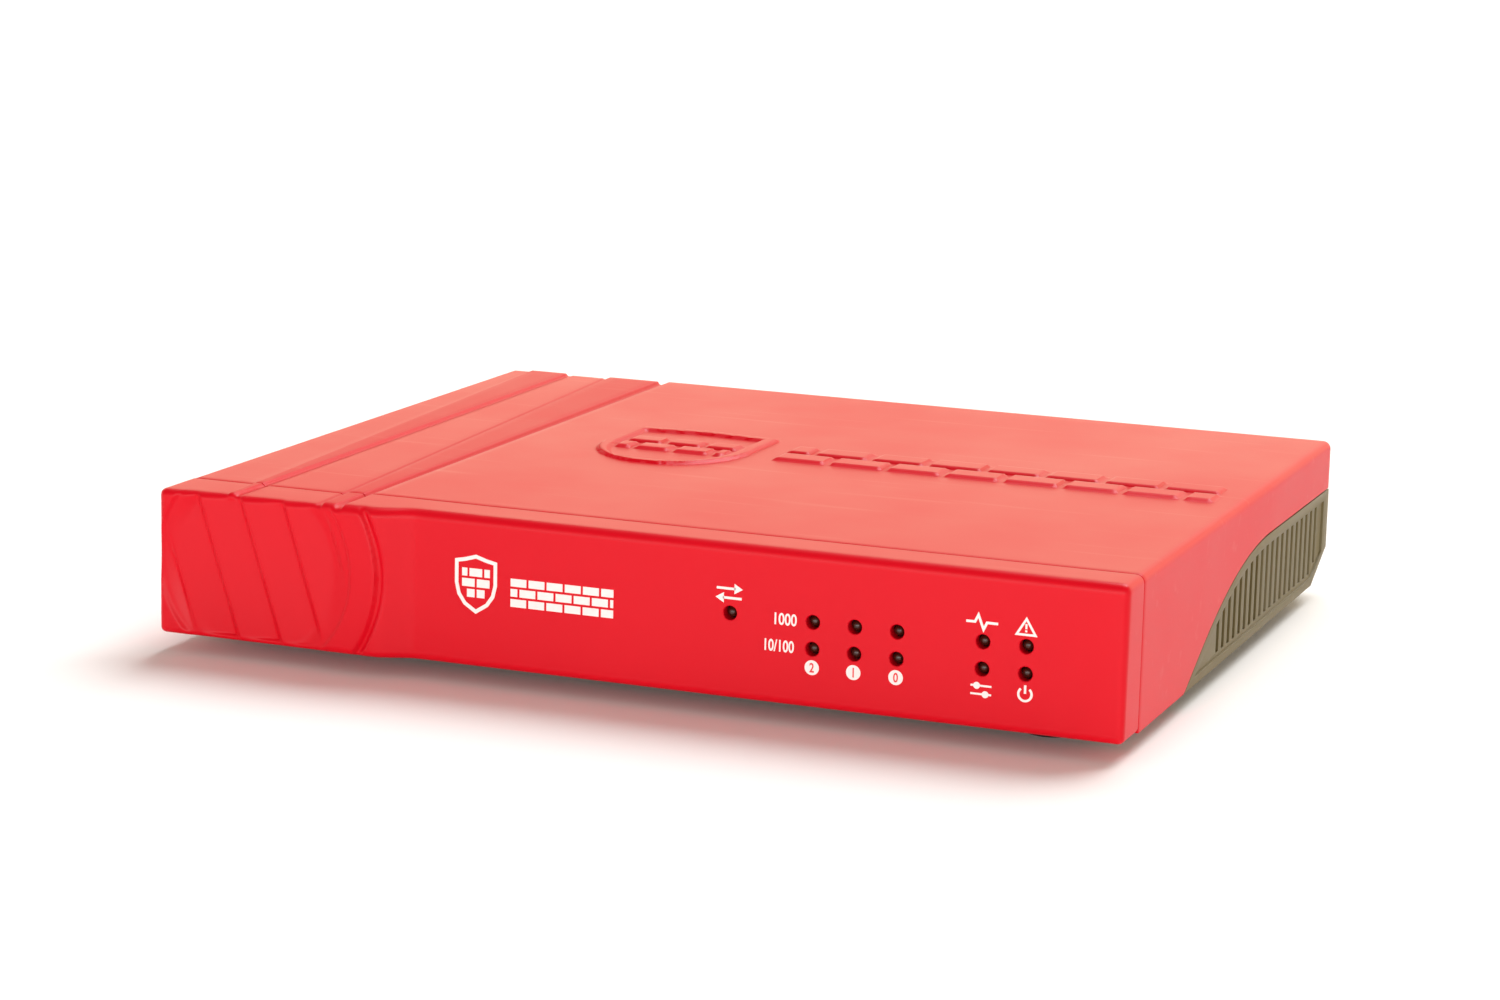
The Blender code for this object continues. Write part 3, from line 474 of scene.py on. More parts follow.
print("emblem stands", EMBLEM_HEIGHT / MM, "mm proud")


# %% [markdown]
# The cover is one sheet of plastic bent over the top and both sides, with a curved lower edge where
# the base shows. It could be a box with a bevel, but then the relief would have to be bump only.
# Here it is woven as a grid instead: each station along the depth is a row of points from one lower
# edge, over the top, to the other. Columns on top follow the ribbons, so their edges stay crisp.

# %% The lower edge of the cover
CURVE_START = Vector((FACE_Y + 40 * MM, LOW_Z))
CURVE_LEVEL = Vector((FACE_Y + 104 * MM, LOW_Z + 18.5 * MM))
CURVE_PULLS = (CURVE_START + Vector((14 * MM, 7 * MM)), CURVE_LEVEL + Vector((-30 * MM, 0.5 * MM)))


def edge_curve(steps=60):
    """Points along a Bezier curve, each as a place along the depth and a height."""
    points = []
    for i in range(steps + 1):
        t = i / steps
        spot = (1 - t) ** 3 * CURVE_START + 3 * t * (1 - t) ** 2 * CURVE_PULLS[0]
        spot += 3 * t ** 2 * (1 - t) * CURVE_PULLS[1] + t ** 3 * CURVE_LEVEL
        points.append(spot)
    return points


CURVE = edge_curve()


def lower_edge(y):
    """Height of the cover's lower edge at a place along the case."""
    if y <= CURVE[0].x:
        return LOW_Z
    for near, far in zip(CURVE, CURVE[1:]):
        if near.x <= y <= far.x:
            return near.y + (far.y - near.y) * (y - near.x) / (far.x - near.x)
    return CURVE_LEVEL.y


print("cover edge half way along, mm above the case bottom:", round((lower_edge(0) - LOW_Z) / MM, 2))


# %% [markdown]
# A grid is only as good as the places of its rows. A plain even grid fine enough for the emblem
# would have too many faces. So rows stand close together over the emblem, at the ribbons and at the
# rounded rims, and far apart on plain plastic.

# %% Columns and stations of the cover grid
TOP_ROUND = 1.6 * MM
ARC_STEPS = 7
SIDE_ROWS = 12
RIBBONS_END_X = LEFT_X + 42 * MM
RIBBON_STEP = 2.5 * MM           # widest gap between columns on the ribbons
PLAIN_STEP = 2 * MM
FINE_STEP = 0.45 * MM            # columns over the emblem
EMBLEM_MARGIN = 1.5 * MM
EDGE_STEP = 1 * MM
STATION_STEP = 1.5 * MM
FINE_STATION_STEP = 0.5 * MM
SEAM_ROUND = 0.25 * MM
REAR_RIM_ROUND = 0.5 * MM
SEAM_ANGLES = (0, 0.52, 1.05, 1.57)   # radians round each small rim, from its start to the flat
REAR_RIM_ANGLES = (0.4, 0.8, 1.2, 1.57)
STEP_SHARE = 0.62                # columns reach this share of a step's width to either side


def cover_columns():
    """Columns on top, as pairs of x at the front and at the rear, from left to right."""
    edges = [(LEFT_X + TOP_ROUND, LEFT_X + TOP_ROUND)]
    half = RIBBON_SLOPE * MM * STEP_SHARE
    for line in RIBBONS:
        front = ribbon_line(line, FACE_Y)
        rear = ribbon_line(line, REAR_Y)
        for share in (-1, -0.5, 0, 0.5, 1):
            edges.append((front + share * half, rear + share * half))
    edges.append((RIBBONS_END_X, RIBBONS_END_X))
    columns = [edges[0]]
    for (f0, r0), (f1, r1) in zip(edges, edges[1:]):
        count = max(1, math.ceil(max(abs(f1 - f0), abs(r1 - r0)) / RIBBON_STEP))
        for i in range(1, count + 1):
            columns.append((f0 + (f1 - f0) * i / count, r0 + (r1 - r0) * i / count))
    fine_from = SHIELD_X - SHIELD_WIDTH / 2 - EMBLEM_MARGIN
    fine_to = BRICK_LAST_X + EDGE_STEP
    columns += [(x, x) for x in spread(RIBBONS_END_X, fine_from, PLAIN_STEP)[1:]]
    columns += [(x, x) for x in spread(fine_from, fine_to, FINE_STEP)[1:]]
    columns += [(x, x) for x in spread(fine_to, RIGHT_X - TOP_ROUND, EDGE_STEP)[1:]]
    return columns


def cover_stations():
    """Places along the depth, each with how far the skin is drawn in there to round the rim."""
    front = SEAM_Y + GAP
    soft = SEAM_ROUND
    rim = REAR_RIM_ROUND
    stations = []
    for angle in SEAM_ANGLES:
        stations.append((front + soft - soft * math.cos(angle), soft - soft * math.sin(angle)))
    emblem_low = SHIELD_Y - SHIELD_HEIGHT / 2 - EMBLEM_MARGIN
    emblem_high = SHIELD_Y + SHIELD_HEIGHT / 2 + EMBLEM_MARGIN
    stations += [(y, 0.0) for y in spread(front + soft, emblem_low, STATION_STEP)[1:]]
    stations += [(y, 0.0) for y in spread(emblem_low, emblem_high, FINE_STATION_STEP)[1:]]
    stations += [(y, 0.0) for y in spread(emblem_high, REAR_Y - rim, STATION_STEP)[1:]]
    for angle in REAR_RIM_ANGLES:
        stations.append((REAR_Y - rim + rim * math.sin(angle), rim - rim * math.cos(angle)))
    return stations


COLUMNS = cover_columns()
STATIONS = cover_stations()
print("cover grid:", len(COLUMNS), "columns by", len(STATIONS), "stations")


# %% [markdown]
# Each station becomes one row of points on the outside and one on the inside, a wall's thickness
# apart. Neighbouring rows are joined by faces, and the four rims are closed. A solidify modifier
# could add the thickness, but it would copy the relief to the inside, where a real moulding is flat.

# %% Weave the cover
def arch_point(place_along, y, depth):
    """A point of the arch and its outward direction; depth is measured inward from the plain skin."""
    kind, value = place_along
    low = lower_edge(y)
    knee = TOP_Z - TOP_ROUND
    if kind == "left":
        return Vector((LEFT_X + depth, y, low + (knee - low) * value)), Vector((-1, 0, 0))
    if kind == "right":
        return Vector((RIGHT_X - depth, y, low + (knee - low) * value)), Vector((1, 0, 0))
    if kind == "top":
        share = (y - FACE_Y) / CASE_DEPTH
        x = value[0] + (value[1] - value[0]) * share
        return Vector((x, y, TOP_Z - depth)), Vector((0, 0, 1))
    centre_x = LEFT_X + TOP_ROUND if kind == "left_arc" else RIGHT_X - TOP_ROUND
    radius = max(TOP_ROUND - depth, 0.1 * MM)
    out = Vector((math.cos(value), 0, math.sin(value)))
    return Vector((centre_x, y, knee)) + out * radius, out


def arch_places():
    """Places along the arch, from the lower left edge over the top to the lower right edge."""
    places = [("left", i / SIDE_ROWS) for i in range(SIDE_ROWS + 1)]
    places += [("left_arc", math.pi - math.pi / 2 * i / ARC_STEPS) for i in range(1, ARC_STEPS)]
    places += [("top", column) for column in COLUMNS]
    places += [("right_arc", math.pi / 2 - math.pi / 2 * i / ARC_STEPS) for i in range(1, ARC_STEPS)]
    places += [("right", 1 - i / SIDE_ROWS) for i in range(SIDE_ROWS + 1)]
    return places


def make_cover():
    """The cover as one closed sheet: an outer skin, an inner skin, and strips that join their rims."""
    bm = bmesh.new()
    dull_layer = bm.verts.layers.float.new("dull")
    places = arch_places()
    outer = []
    inner = []
    for y, inset in STATIONS:
        outer_row = []
        inner_row = []
        for spot in places:
            point, out = arch_point(spot, y, inset)
            lift = top_relief(point.x, y) * max(out.z, 0)
            if spot[0] == "top":
                lift += emblem_relief(point.x, y)
            vertex = bm.verts.new(point + out * lift)
            vertex[dull_layer] = dullness(point.x, y) if spot[0] == "top" else 0.0
            outer_row.append(vertex)
            inside, _ = arch_point(spot, y, WALL)
            inner_row.append(bm.verts.new(inside))
        outer.append(outer_row)
        inner.append(inner_row)
    last = len(places) - 1
    for k in range(len(outer) - 1):
        for i in range(last):
            bm.faces.new((outer[k][i], outer[k][i + 1], outer[k + 1][i + 1], outer[k + 1][i]))
            bm.faces.new((inner[k][i], inner[k + 1][i], inner[k + 1][i + 1], inner[k][i + 1]))
        for i in (0, last):
            bm.faces.new((outer[k][i], outer[k + 1][i], inner[k + 1][i], inner[k][i]))
    for k in (0, len(outer) - 1):
        for i in range(last):
            bm.faces.new((outer[k][i], inner[k][i], inner[k][i + 1], outer[k][i + 1]))
    item = from_bmesh("cover_shell", bm)
    return finish_piece(item, red_abs, replaces=["top_cover"], angle=40)


cover = make_cover()
print("cover faces:", len(cover.data.polygons))


# %% [markdown]
# The fluted panel at the left of the bezel carries slanted pleats inside a round border. Each
# pleat rises at a slanted line and falls away slowly to its right. The border is part of a circle
# larger than the panel, so only its right limb and a sliver at the left corner show.

# %% Relief of the fluted panel
PANEL_WIDTH = 46.5 * MM
PANEL_RAMP_START = 2 * MM        # the step starts to fall this far inside the panel's edge
PANEL_RAMP_END = 6.5 * MM        # and meets the flat face this far outside it
RING_X = LEFT_X + 20.3 * MM
RING_Z = LOW_Z + 15 * MM
RING_OUTER = 25.3 * MM
RING_INNER = 20.1 * MM
PLEAT_PITCH = 9 * MM
PLEAT_FIRST = LEFT_X + 7.4 * MM  # where the first drop meets the top edge
PLEAT_LEAN = 0.32                # sideways run of a drop for each unit down
PLEAT_DEPTH = 0.65 * MM
PLEAT_DROP = 1.0 * MM            # width of the steep side of each pleat
BORDER_DROP = 0.4 * MM
GROOVE_DEPTH = 0.6 * MM
GROOVE_INNER = (-0.2 * MM, 0.5 * MM)  # where the groove's inner side falls, out from the border
GROOVE_OUTER = (0.7 * MM, 1.9 * MM)   # and where its outer side rises
PLEAT_FADE = 4 * MM              # pleats die away this far inside the border
BORDER_SOFT = 0.45 * MM


def panel_step(x):
    """How far the front stands forward of the flat face."""
    edge = LEFT_X + PANEL_WIDTH
    return PANEL_STEP * (1 - ramp(x, edge - PANEL_RAMP_START, edge + PANEL_RAMP_END))


def front_relief(x, z):
    """Relief of the panel along its normal, in metres; zero or below."""
    distance = math.hypot(x - RING_X, z - RING_Z)
    inside = 1 - ramp(distance, RING_INNER - BORDER_SOFT, RING_INNER + BORDER_SOFT)
    along = (x - PLEAT_FIRST - PLEAT_LEAN * (TOP_Z - z)) / PLEAT_PITCH
    share = along - math.floor(along)
    drop = PLEAT_DROP / PLEAT_PITCH
    rise = (1 - share) / (1 - drop) if share > drop else share / drop
    fade = 1 - ramp(distance, RING_INNER - PLEAT_FADE, RING_INNER - BORDER_SOFT)
    pleat = -BORDER_DROP - PLEAT_DEPTH * (1 - rise) * fade
    past = distance - RING_OUTER
    groove = ramp(past, *GROOVE_INNER) * (1 - ramp(past, *GROOVE_OUTER))
    return pleat * inside - GROOVE_DEPTH * groove


print("panel relief at its middle, mm:", round(front_relief(RING_X, RING_Z) / MM, 2))


# %% [markdown]
# The bezel is a cap. Its outside starts as the six faces of a box, cut into small squares. Each
# point is pulled in to a rounded box, then pushed by the relief along its own direction. A Boolean
# hollows the back and drills the light holes, whose mouths are slightly flared.

# %% The rounded outside of the bezel
BOTTOM_ROUND = 1.2 * MM
BEZEL_TOP_ROUND = 1.6 * MM
ROUND_STEPS = 5
PLEAT_GRID = 0.3 * MM            # squares on the fluted panel
FLAT_GRID = 3 * MM
DEPTH_GRID = 1 * MM


def rounding(radius):
    """Distances in from a side at which its rounded edge is cut, from the outside in."""
    return [radius * (1 - math.cos(math.pi / 2 * i / ROUND_STEPS)) for i in range(ROUND_STEPS)]


def bezel_lines():
    """Where the box is cut along each axis: close together at rounded edges and on the pleats."""
    upper = rounding(BEZEL_TOP_ROUND)
    fine_to = LEFT_X + PANEL_WIDTH + PANEL_RAMP_END
    xs = [LEFT_X + distance for distance in upper]
    xs += spread(LEFT_X + BEZEL_TOP_ROUND, fine_to, PLEAT_GRID)
    xs += spread(fine_to, RIGHT_X - BEZEL_TOP_ROUND, FLAT_GRID)[1:]
    xs += [RIGHT_X - distance for distance in reversed(upper)]
    ys = [FACE_Y + distance for distance in upper]
    ys += spread(FACE_Y + BEZEL_TOP_ROUND, SEAM_Y, DEPTH_GRID)
    zs = [LOW_Z + distance for distance in rounding(BOTTOM_ROUND)]
    zs += spread(LOW_Z + BOTTOM_ROUND, TOP_Z - BEZEL_TOP_ROUND, PLEAT_GRID)
    zs += [TOP_Z - distance for distance in reversed(upper)]
    return xs, ys, zs


def rounded(point):
    """Pull a point of the plain box in to the rounded one; give it with its outward direction."""
    share = (point.z - LOW_Z) / (TOP_Z - LOW_Z)
    radius = BOTTOM_ROUND + (BEZEL_TOP_ROUND - BOTTOM_ROUND) * ramp(share, 0.1, 0.9)
    core = Vector((
        min(max(point.x, LEFT_X + radius), RIGHT_X - radius),
        max(point.y, FACE_Y + radius),
        min(max(point.z, LOW_Z + radius), TOP_Z - radius),
    ))
    out = point - core
    if out.length < 1e-9:
        return point.copy(), Vector((0, 0, 0))
    out.normalize()
    return core + out * radius, out


def bezel_point(x, y, z):
    """Where a point of the plain box ends up, and how dull the plastic is there."""
    point, out = rounded(Vector((x, y, z)))
    lift = top_relief(point.x, point.y) * max(out.z, 0) ** 2
    lift += front_relief(point.x, point.z) * max(-out.y, 0) ** 2
    moved = point + out * lift
    share = max(0.0, min(1.0, (SEAM_Y - moved.y) / (SEAM_Y - FACE_Y)))
    moved.y -= panel_step(moved.x) * share
    return moved, dullness(point.x, point.y) * max(out.z, 0) ** 2


def make_bezel_block():
    """The bezel's outside as a closed block, flat at the back."""
    xs, ys, zs = bezel_lines()
    bm = bmesh.new()
    dull_layer = bm.verts.layers.float.new("dull")
    made = {}

    def corner(i, j, k):
        key = (i, j, k)
        if key not in made:
            moved, dull = bezel_point(xs[i], ys[j], zs[k])
            vertex = bm.verts.new(moved)
            vertex[dull_layer] = dull
            made[key] = vertex
        return made[key]

    def square(i, j, k, first, second):
        """One face from a grid corner and its two steps along the grid."""
        steps = ((0, 0, 0), first, tuple(a + b for a, b in zip(first, second)), second)
        bm.faces.new([corner(i + a, j + b, k + c) for a, b, c in steps])

    last_x, last_y, last_z = len(xs) - 1, len(ys) - 1, len(zs) - 1
    for i in range(last_x):
        for k in range(last_z):
            square(i, 0, k, (1, 0, 0), (0, 0, 1))
        for j in range(last_y):
            for k in (0, last_z):
                square(i, j, k, (1, 0, 0), (0, 1, 0))
    for j in range(last_y):
        for k in range(last_z):
            for i in (0, last_x):
                square(i, j, k, (0, 1, 0), (0, 0, 1))
    rim = [edge for edge in bm.edges if len(edge.link_faces) == 1]
    bmesh.ops.holes_fill(bm, edges=rim, sides=0)
    return from_bmesh("bezel_shell", bm)


bezel = make_bezel_block()
print("bezel block faces:", len(bezel.data.polygons))


# %% [markdown]
# The bezel's wall is the same plastic as the cover. A drill is a turned solid: its outline is a
# short list of radius and depth, spun about its axis. Its first ring is wider than the hole, so the
# Boolean leaves the small flare that a moulding pin makes.

# %% Hollow the bezel and drill its light holes
LIGHTS = {
    name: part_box(name)
    for name in frame["nodes"]
    if name.startswith("light_") and "holder" not in name
}
HOLE_RADIUS = 1.3 * MM
HOLE_FLARE = 0.14 * MM
DRILL_DEPTH = 4 * MM
FACE_THICKNESS = 2.2 * MM
RELIEF_ROOM = 0.6 * MM           # extra thickness under the grooves of the top


def turned_cutter(profile, centre, segments=40):
    """A solid turned about an axis along y; the profile lists radius and distance behind the centre."""
    bm = bmesh.new()
    rings = []
    for radius, back in profile:
        ring = []
        for i in range(segments):
            angle = math.tau * i / segments
            spot = centre + Vector((radius * math.cos(angle), back, radius * math.sin(angle)))
            ring.append(bm.verts.new(spot))
        rings.append(ring)
    for near, far in zip(rings, rings[1:]):
        for i in range(segments):
            j = (i + 1) % segments
            bm.faces.new((near[i], near[j], far[j], far[i]))
    bm.faces.new(rings[0])
    bm.faces.new(rings[-1])
    return from_bmesh("cutter", bm)


def block(name, low, high):
    """A plain box between two corners."""
    bm = bmesh.new()
    bmesh.ops.create_cube(bm, size=1)
    for vertex in bm.verts:
        for axis in range(3):
            vertex.co[axis] = high[axis] if vertex.co[axis] > 0 else low[axis]
    return from_bmesh(name, bm)


def cut_away(item, others):
    """Cut pieces from an object and keep the result as its mesh."""
    for other in others:
        modifier = item.modifiers.new("boolean", "BOOLEAN")
        modifier.operation = "DIFFERENCE"
        modifier.object = other
        modifier.solver = "EXACT"
        graph = bpy.context.evaluated_depsgraph_get()
        mesh = bpy.data.meshes.new_from_object(item.evaluated_get(graph))
        item.modifiers.clear()
        item.data = mesh
        bpy.data.objects.remove(other, do_unlink=True)


cutters = [block(
    "hollow",
    Vector((LEFT_X + WALL, FACE_Y + FACE_THICKNESS, LOW_Z + WALL)),
    Vector((RIGHT_X - WALL, SEAM_Y + WALL, TOP_Z - WALL - RELIEF_ROOM)),
)]
for name, (low, high) in LIGHTS.items():
    centre = Vector(((low.x + high.x) / 2, FACE_Y, (low.z + high.z) / 2))
    mouth = (HOLE_RADIUS + 2 * HOLE_FLARE, -HOLE_FLARE)
    cutters.append(turned_cutter(
        [mouth, (HOLE_RADIUS, HOLE_FLARE), (HOLE_RADIUS, DRILL_DEPTH)], centre,
    ))
cut_away(bezel, cutters)
finish_piece(bezel, red_abs, replaces=["front_bezel"], angle=38)
print("bezel faces after drilling:", len(bezel.data.polygons), "with", len(LIGHTS), "holes")


# %% [markdown]
# Many small parts already have the right shape in the frame, but their edges are knife sharp.
# Real moulded and stamped parts have a small radius that catches the light. This copies the part,
# merges its flat faces, rounds the edges, and stands in for it. A shape function may cut something
# into the copy first, such as the cross in a screw head.

# %% A function that softens the edges of a framed part
MERGE_DISTANCE = 0.001 * MM      # points closer than this become one
FLAT_ANGLE = 0.5                 # degrees; faces that meet flatter than this are merged
EDGE_ANGLE = 40                  # degrees; edges sharper than this are rounded


def softened(node, material, width=0.15, body="chassis", segments=2, shape=None):
    """A copy of a framed part with its edges rounded by a width in millimetres."""
    source = frame["nodes"][node]
    bm = bmesh.new()
    bm.from_mesh(source.data)
    bmesh.ops.remove_doubles(bm, verts=bm.verts, dist=MERGE_DISTANCE)
    bmesh.ops.dissolve_limit(
        bm, angle_limit=math.radians(FLAT_ANGLE), verts=bm.verts, edges=bm.edges,
    )
    item = from_bmesh(node + "_finished", bm)
    item.matrix_world = source.matrix_world.copy()
    if shape:
        shape(item)
    modifier = item.modifiers.new("soft edges", "BEVEL")
    modifier.width = width * MM
    modifier.segments = segments
    modifier.limit_method = "ANGLE"
    modifier.angle_limit = math.radians(EDGE_ANGLE)
    modifier.use_clamp_overlap = True
    graph = bpy.context.evaluated_depsgraph_get()
    mesh = bpy.data.meshes.new_from_object(item.evaluated_get(graph))
    item.modifiers.clear()
    item.data = mesh
    return finish_piece(item, material, body, [node])


def tube(centre, inner, outer, low, high, segments=48):
    """A short upright tube, used to cut a ring groove."""
    bm = bmesh.new()
    rings = []
    for radius, z in ((inner, low), (outer, low), (outer, high), (inner, high)):
        ring = []
        for i in range(segments):
            angle = math.tau * i / segments
            x = centre.x + radius * math.cos(angle)
            y = centre.y + radius * math.sin(angle)
            ring.append(bm.verts.new((x, y, z)))
        rings.append(ring)
    for near, far in zip(rings, rings[1:] + rings[:1]):
        for i in range(segments):
            j = (i + 1) % segments
            bm.faces.new((near[i], near[j], far[j], far[i]))
    return from_bmesh("groove", bm)


CROSS_ARM = 1.7 * MM
CROSS_HALF_WIDTH = 0.36 * MM
CROSS_DEPTH = 0.9 * MM
FOOT_RING = (3.4 * MM, 4.0 * MM)      # inner and outer radius
FOOT_RING_DEPTH = 0.35 * MM
FOOT_CUT_START = -0.5 * MM            # the cutter starts this far below the foot


def middle(item):
    """The centre of an object's box."""
    places = [vertex.co for vertex in item.data.vertices]
    low = Vector([min(co[axis] for co in places) for axis in range(3)])
    high = Vector([max(co[axis] for co in places) for axis in range(3)])
    return (low + high) / 2


def cross_recess(item):
    """Cut the cross in a pan head; the head is the wider end of the screw."""
    centre = middle(item)
    places = [vertex.co for vertex in item.data.vertices]
    widest = max(places, key=lambda co: (co - centre).xy.length)
    low = min(co.z for co in places)
    high = max(co.z for co in places)
    face = high if widest.z > (low + high) / 2 else low
    cuts = []
    for across, along in ((CROSS_ARM, CROSS_HALF_WIDTH), (CROSS_HALF_WIDTH, CROSS_ARM)):
        cuts.append(block(
            "cut",
            Vector((centre.x - across, centre.y - along, face - CROSS_DEPTH)),
            Vector((centre.x + across, centre.y + along, face + CROSS_DEPTH)),
        ))
    cut_away(item, cuts)


def foot_groove(item):
    """A shallow ring under a rubber foot, left by its mould."""
    cut_away(item, [tube(middle(item), *FOOT_RING, FOOT_CUT_START, FOOT_RING_DEPTH)])


def count_softened():
    """How many softened parts exist so far."""
    return sum(item.name.endswith("_finished") for item in bpy.data.objects)


softened("base_case", taupe_abs, 0.25)
softened("rear_panel", dark_abs, 0.2)
for name in list(frame["nodes"]):
    if name.endswith("_shell"):
        softened(name, nickel_steel, 0.12)
print("case parts softened:", count_softened())


# %% [markdown]
# Sockets are a folded steel shell round a moulded insert, and the shells were done with the case.
# Inserts, switches and lamps are small mouldings, so a radius of 0.05 to 0.3 mm is true to them.
# The rocker and the reset button ride with their own bodies. Screws get their cross and feet their
# moulded ring before the edges are rounded, so the new edges are softened too.

# %% Sockets, switches and lights
JACKS = ("ethernet_jack_0", "ethernet_jack_1", "ethernet_jack_2", "console_jack")
for name in JACKS:
    softened(name + "_insert", black_nylon, 0.15)
softened("usb_socket_insert", white_nylon, 0.12)
softened("dc_jack_body", black_nylon, 0.2)
softened("dc_jack_pin", nickel_steel, 0.1)
softened("power_switch_body", black_nylon, 0.3)
softened("power_switch_rocker", black_nylon, 0.25, "power_rocker")
softened("reset_switch_body", black_nylon, 0.15)
softened("reset_button", white_nylon, 0.1, "reset_button")
for name in LIGHTS:
    softened(name, lamp_epoxy, 0.05)
for name in list(frame["nodes"]):
    if name.startswith("light_holder"):
        softened(name, black_nylon, 0.2)
    elif name.startswith("foot_"):
        softened(name, foot_rubber, 0.25, segments=3, shape=foot_groove)
    elif "screw_" in name and name[-1].isdigit():
        softened(name, zinc_steel, 0.1, shape=cross_recess)
print("softened parts so far:", count_softened())


# %% [markdown]
# The board shows only through the vents and the socket mouths, but it is a real assembly: green
# laminate, black chips, a blue pad and an aluminium heat sink. The framed shapes are already right,
# so each one only needs its true material and soft edges.

# %% Board and its parts
# Glass-fibre laminate under printed green lacquer: smooth, with the weave faintly mottling it.
solder_mask = plain("green_solder_mask", "1F5F38", 0.35, 0.12, 3.0, IOR=1.5)
softened("main_board", solder_mask, 0.1)
for name in ("processor", "ethernet_switch_chip", "memory_chip", "flash_chip", "power_inductor"):
    softened(name, chip_epoxy, 0.15)
softened("thermal_pad", silicone_pad, 0.1)
softened("heat_sink", extruded_aluminium, 0.15)
softened("bulk_capacitor", sleeve_film, 0.2)
print("board parts done")


# %% [markdown]
# The marks are pad printed: a silicone pad lays down a film of white ink, opaque and slightly
# softer in sheen than the moulding. The film is drawn 0.06 mm thick, so it is real geometry with
# its own edge. Each mark is a list of flat outlines in millimetres, measured to the right and up
# as the reader sees that face. Words are replaced by plain pictures; only figures are kept.

# %% Flat outlines, and films made from them
FILM = 0.06 * MM
SUNK = 0.05 * MM                 # a film reaches this far into the surface below it
SHARPEST_MITRE = 0.4             # keeps the corner of a sharp turn from running far out
BOLDER = 0.018                   # outward growth of a figure's outline, as a share of its size


def stroke(points, width, closed=False):
    """Quadrilaterals that follow a line of points, with mitred corners."""
    count = len(points)
    spots = [Vector(point) for point in points]
    edges = []
    for i, spot in enumerate(spots):
        ways = []
        if closed or i > 0:
            ways.append((spot - spots[i - 1]).normalized())
        if closed or i < count - 1:
            ways.append((spots[(i + 1) % count] - spot).normalized())
        way = sum(ways, Vector((0, 0))).normalized()
        across = Vector((-way.y, way.x))
        straight = Vector((-ways[0].y, ways[0].x))
        reach = width / 2 / max(SHARPEST_MITRE, across.dot(straight))
        edges.append((spot + across * reach, spot - across * reach))
    pairs = zip(edges, edges[1:] + edges[:1]) if closed else zip(edges, edges[1:])
    return [[a[0], a[1], b[1], b[0]] for a, b in pairs]


def rectangle(u0, u1, v0, v1):
    """The four corners of a box, from its left, right, lower and upper edges."""
    return [(u0, v0), (u1, v0), (u1, v1), (u0, v1)]


def circle(u, v, radius, first=0, last=360, steps=36):
    """Points round a circle, or round an arc between two angles in degrees."""
    points = []
    for i in range(steps + (last - first < 360)):
        angle = math.radians(first + (last - first) * i / steps)
        points.append((u + radius * math.cos(angle), v + radius * math.sin(angle)))
    return points


def bricks(u0, u1, v0, courses, length, height, joint):
    """Courses of bricks with staggered joints, cut off at both ends."""
    found = []
    for course in range(courses):
        low = v0 + course * (height + joint)
        start = u0 - (length / 2 if course % 2 else 0)
        while start < u1:
            left = max(start, u0)
            right = min(start + length - joint, u1)
            if right - left > joint:
                found.append(rectangle(left, right, low, low + height))
            start += length
    return found


def figures(text, u, v, height, squeeze=0.78):
    """Outlines of figures in the built-in typeface, narrowed and made a little heavier."""
    curve = bpy.data.curves.new("figures", "FONT")
    curve.body = text
    curve.offset = BOLDER
    curve.resolution_u = 5
    item = bpy.data.objects.new("figures", curve)
    bpy.context.collection.objects.link(item)
    graph = bpy.context.evaluated_depsgraph_get()
    mesh = bpy.data.meshes.new_from_object(item.evaluated_get(graph))
    bpy.data.objects.remove(item, do_unlink=True)
    xs = [vertex.co.x for vertex in mesh.vertices]
    ys = [vertex.co.y for vertex in mesh.vertices]
    scale = height / (max(ys) - min(ys))
    middle_x = (min(xs) + max(xs)) / 2
    middle_y = (min(ys) + max(ys)) / 2
    outlines = []
    for polygon in mesh.polygons:
        corners = [mesh.vertices[index].co for index in polygon.vertices]
        outlines.append([
            (u + (co.x - middle_x) * scale * squeeze, v + (co.y - middle_y) * scale) for co in corners
        ])
    return outlines


def thicken(bm, outlines, surface, high, low):
    """Add the outlines to a mesh as plates between two heights above a surface."""
    corners = {}
    borders = {}
    for outline in outlines:
        keys = [(round(u, 4), round(v, 4)) for u, v in outline]
        keys = [key for i, key in enumerate(keys) if key != keys[i - 1]]
        if len(keys) < 3:
            continue
        for key in keys:
            if key not in corners:
                corners[key] = [bm.verts.new(surface(key[0], key[1], out)) for out in (high, low)]
        bm.faces.new([corners[key][0] for key in keys])
        bm.faces.new([corners[key][1] for key in reversed(keys)])
        for first, second in zip(keys, keys[1:] + keys[:1]):
            edge = frozenset((first, second))
            borders[edge] = None if edge in borders else (first, second)
    for pair in borders.values():
        if pair:
            first, second = pair
            bm.faces.new((corners[first][0], corners[first][1], corners[second][1], corners[second][0]))


def film(name, outlines, surface, material, body="chassis", thickness=FILM):
    """One printed piece: outlines laid on a surface, sunk a little so that no gap shows."""
    bm = bmesh.new()
    thicken(bm, outlines, surface, thickness, -SUNK)
    return finish_piece(from_bmesh(name, bm), material, body)


print("mark helpers are ready; film", FILM / MM, "mm thick")


# %% [markdown]
# The front names its lights with figures and small pictures: arrows for the backup line, a pulse
# for status, sliders for mode, a warning triangle and a power sign. Knobs and figures that lie on
# another film are made a little thicker, so that the two faces never coincide. Figures come from
# the built-in typeface, since drawing them by hand would only copy it badly.

# %% Marks on the front
def on_front(u, v, out):
    """Millimetres from the left side and above the case bottom, and metres out from the face."""
    return Vector((LEFT_X + u * MM, FACE_Y - out, LOW_Z + v * MM))


def moved(outlines, u, v):
    """Outlines shifted to the right and up."""
    return [[(a + u, b + v) for a, b in outline] for outline in outlines]


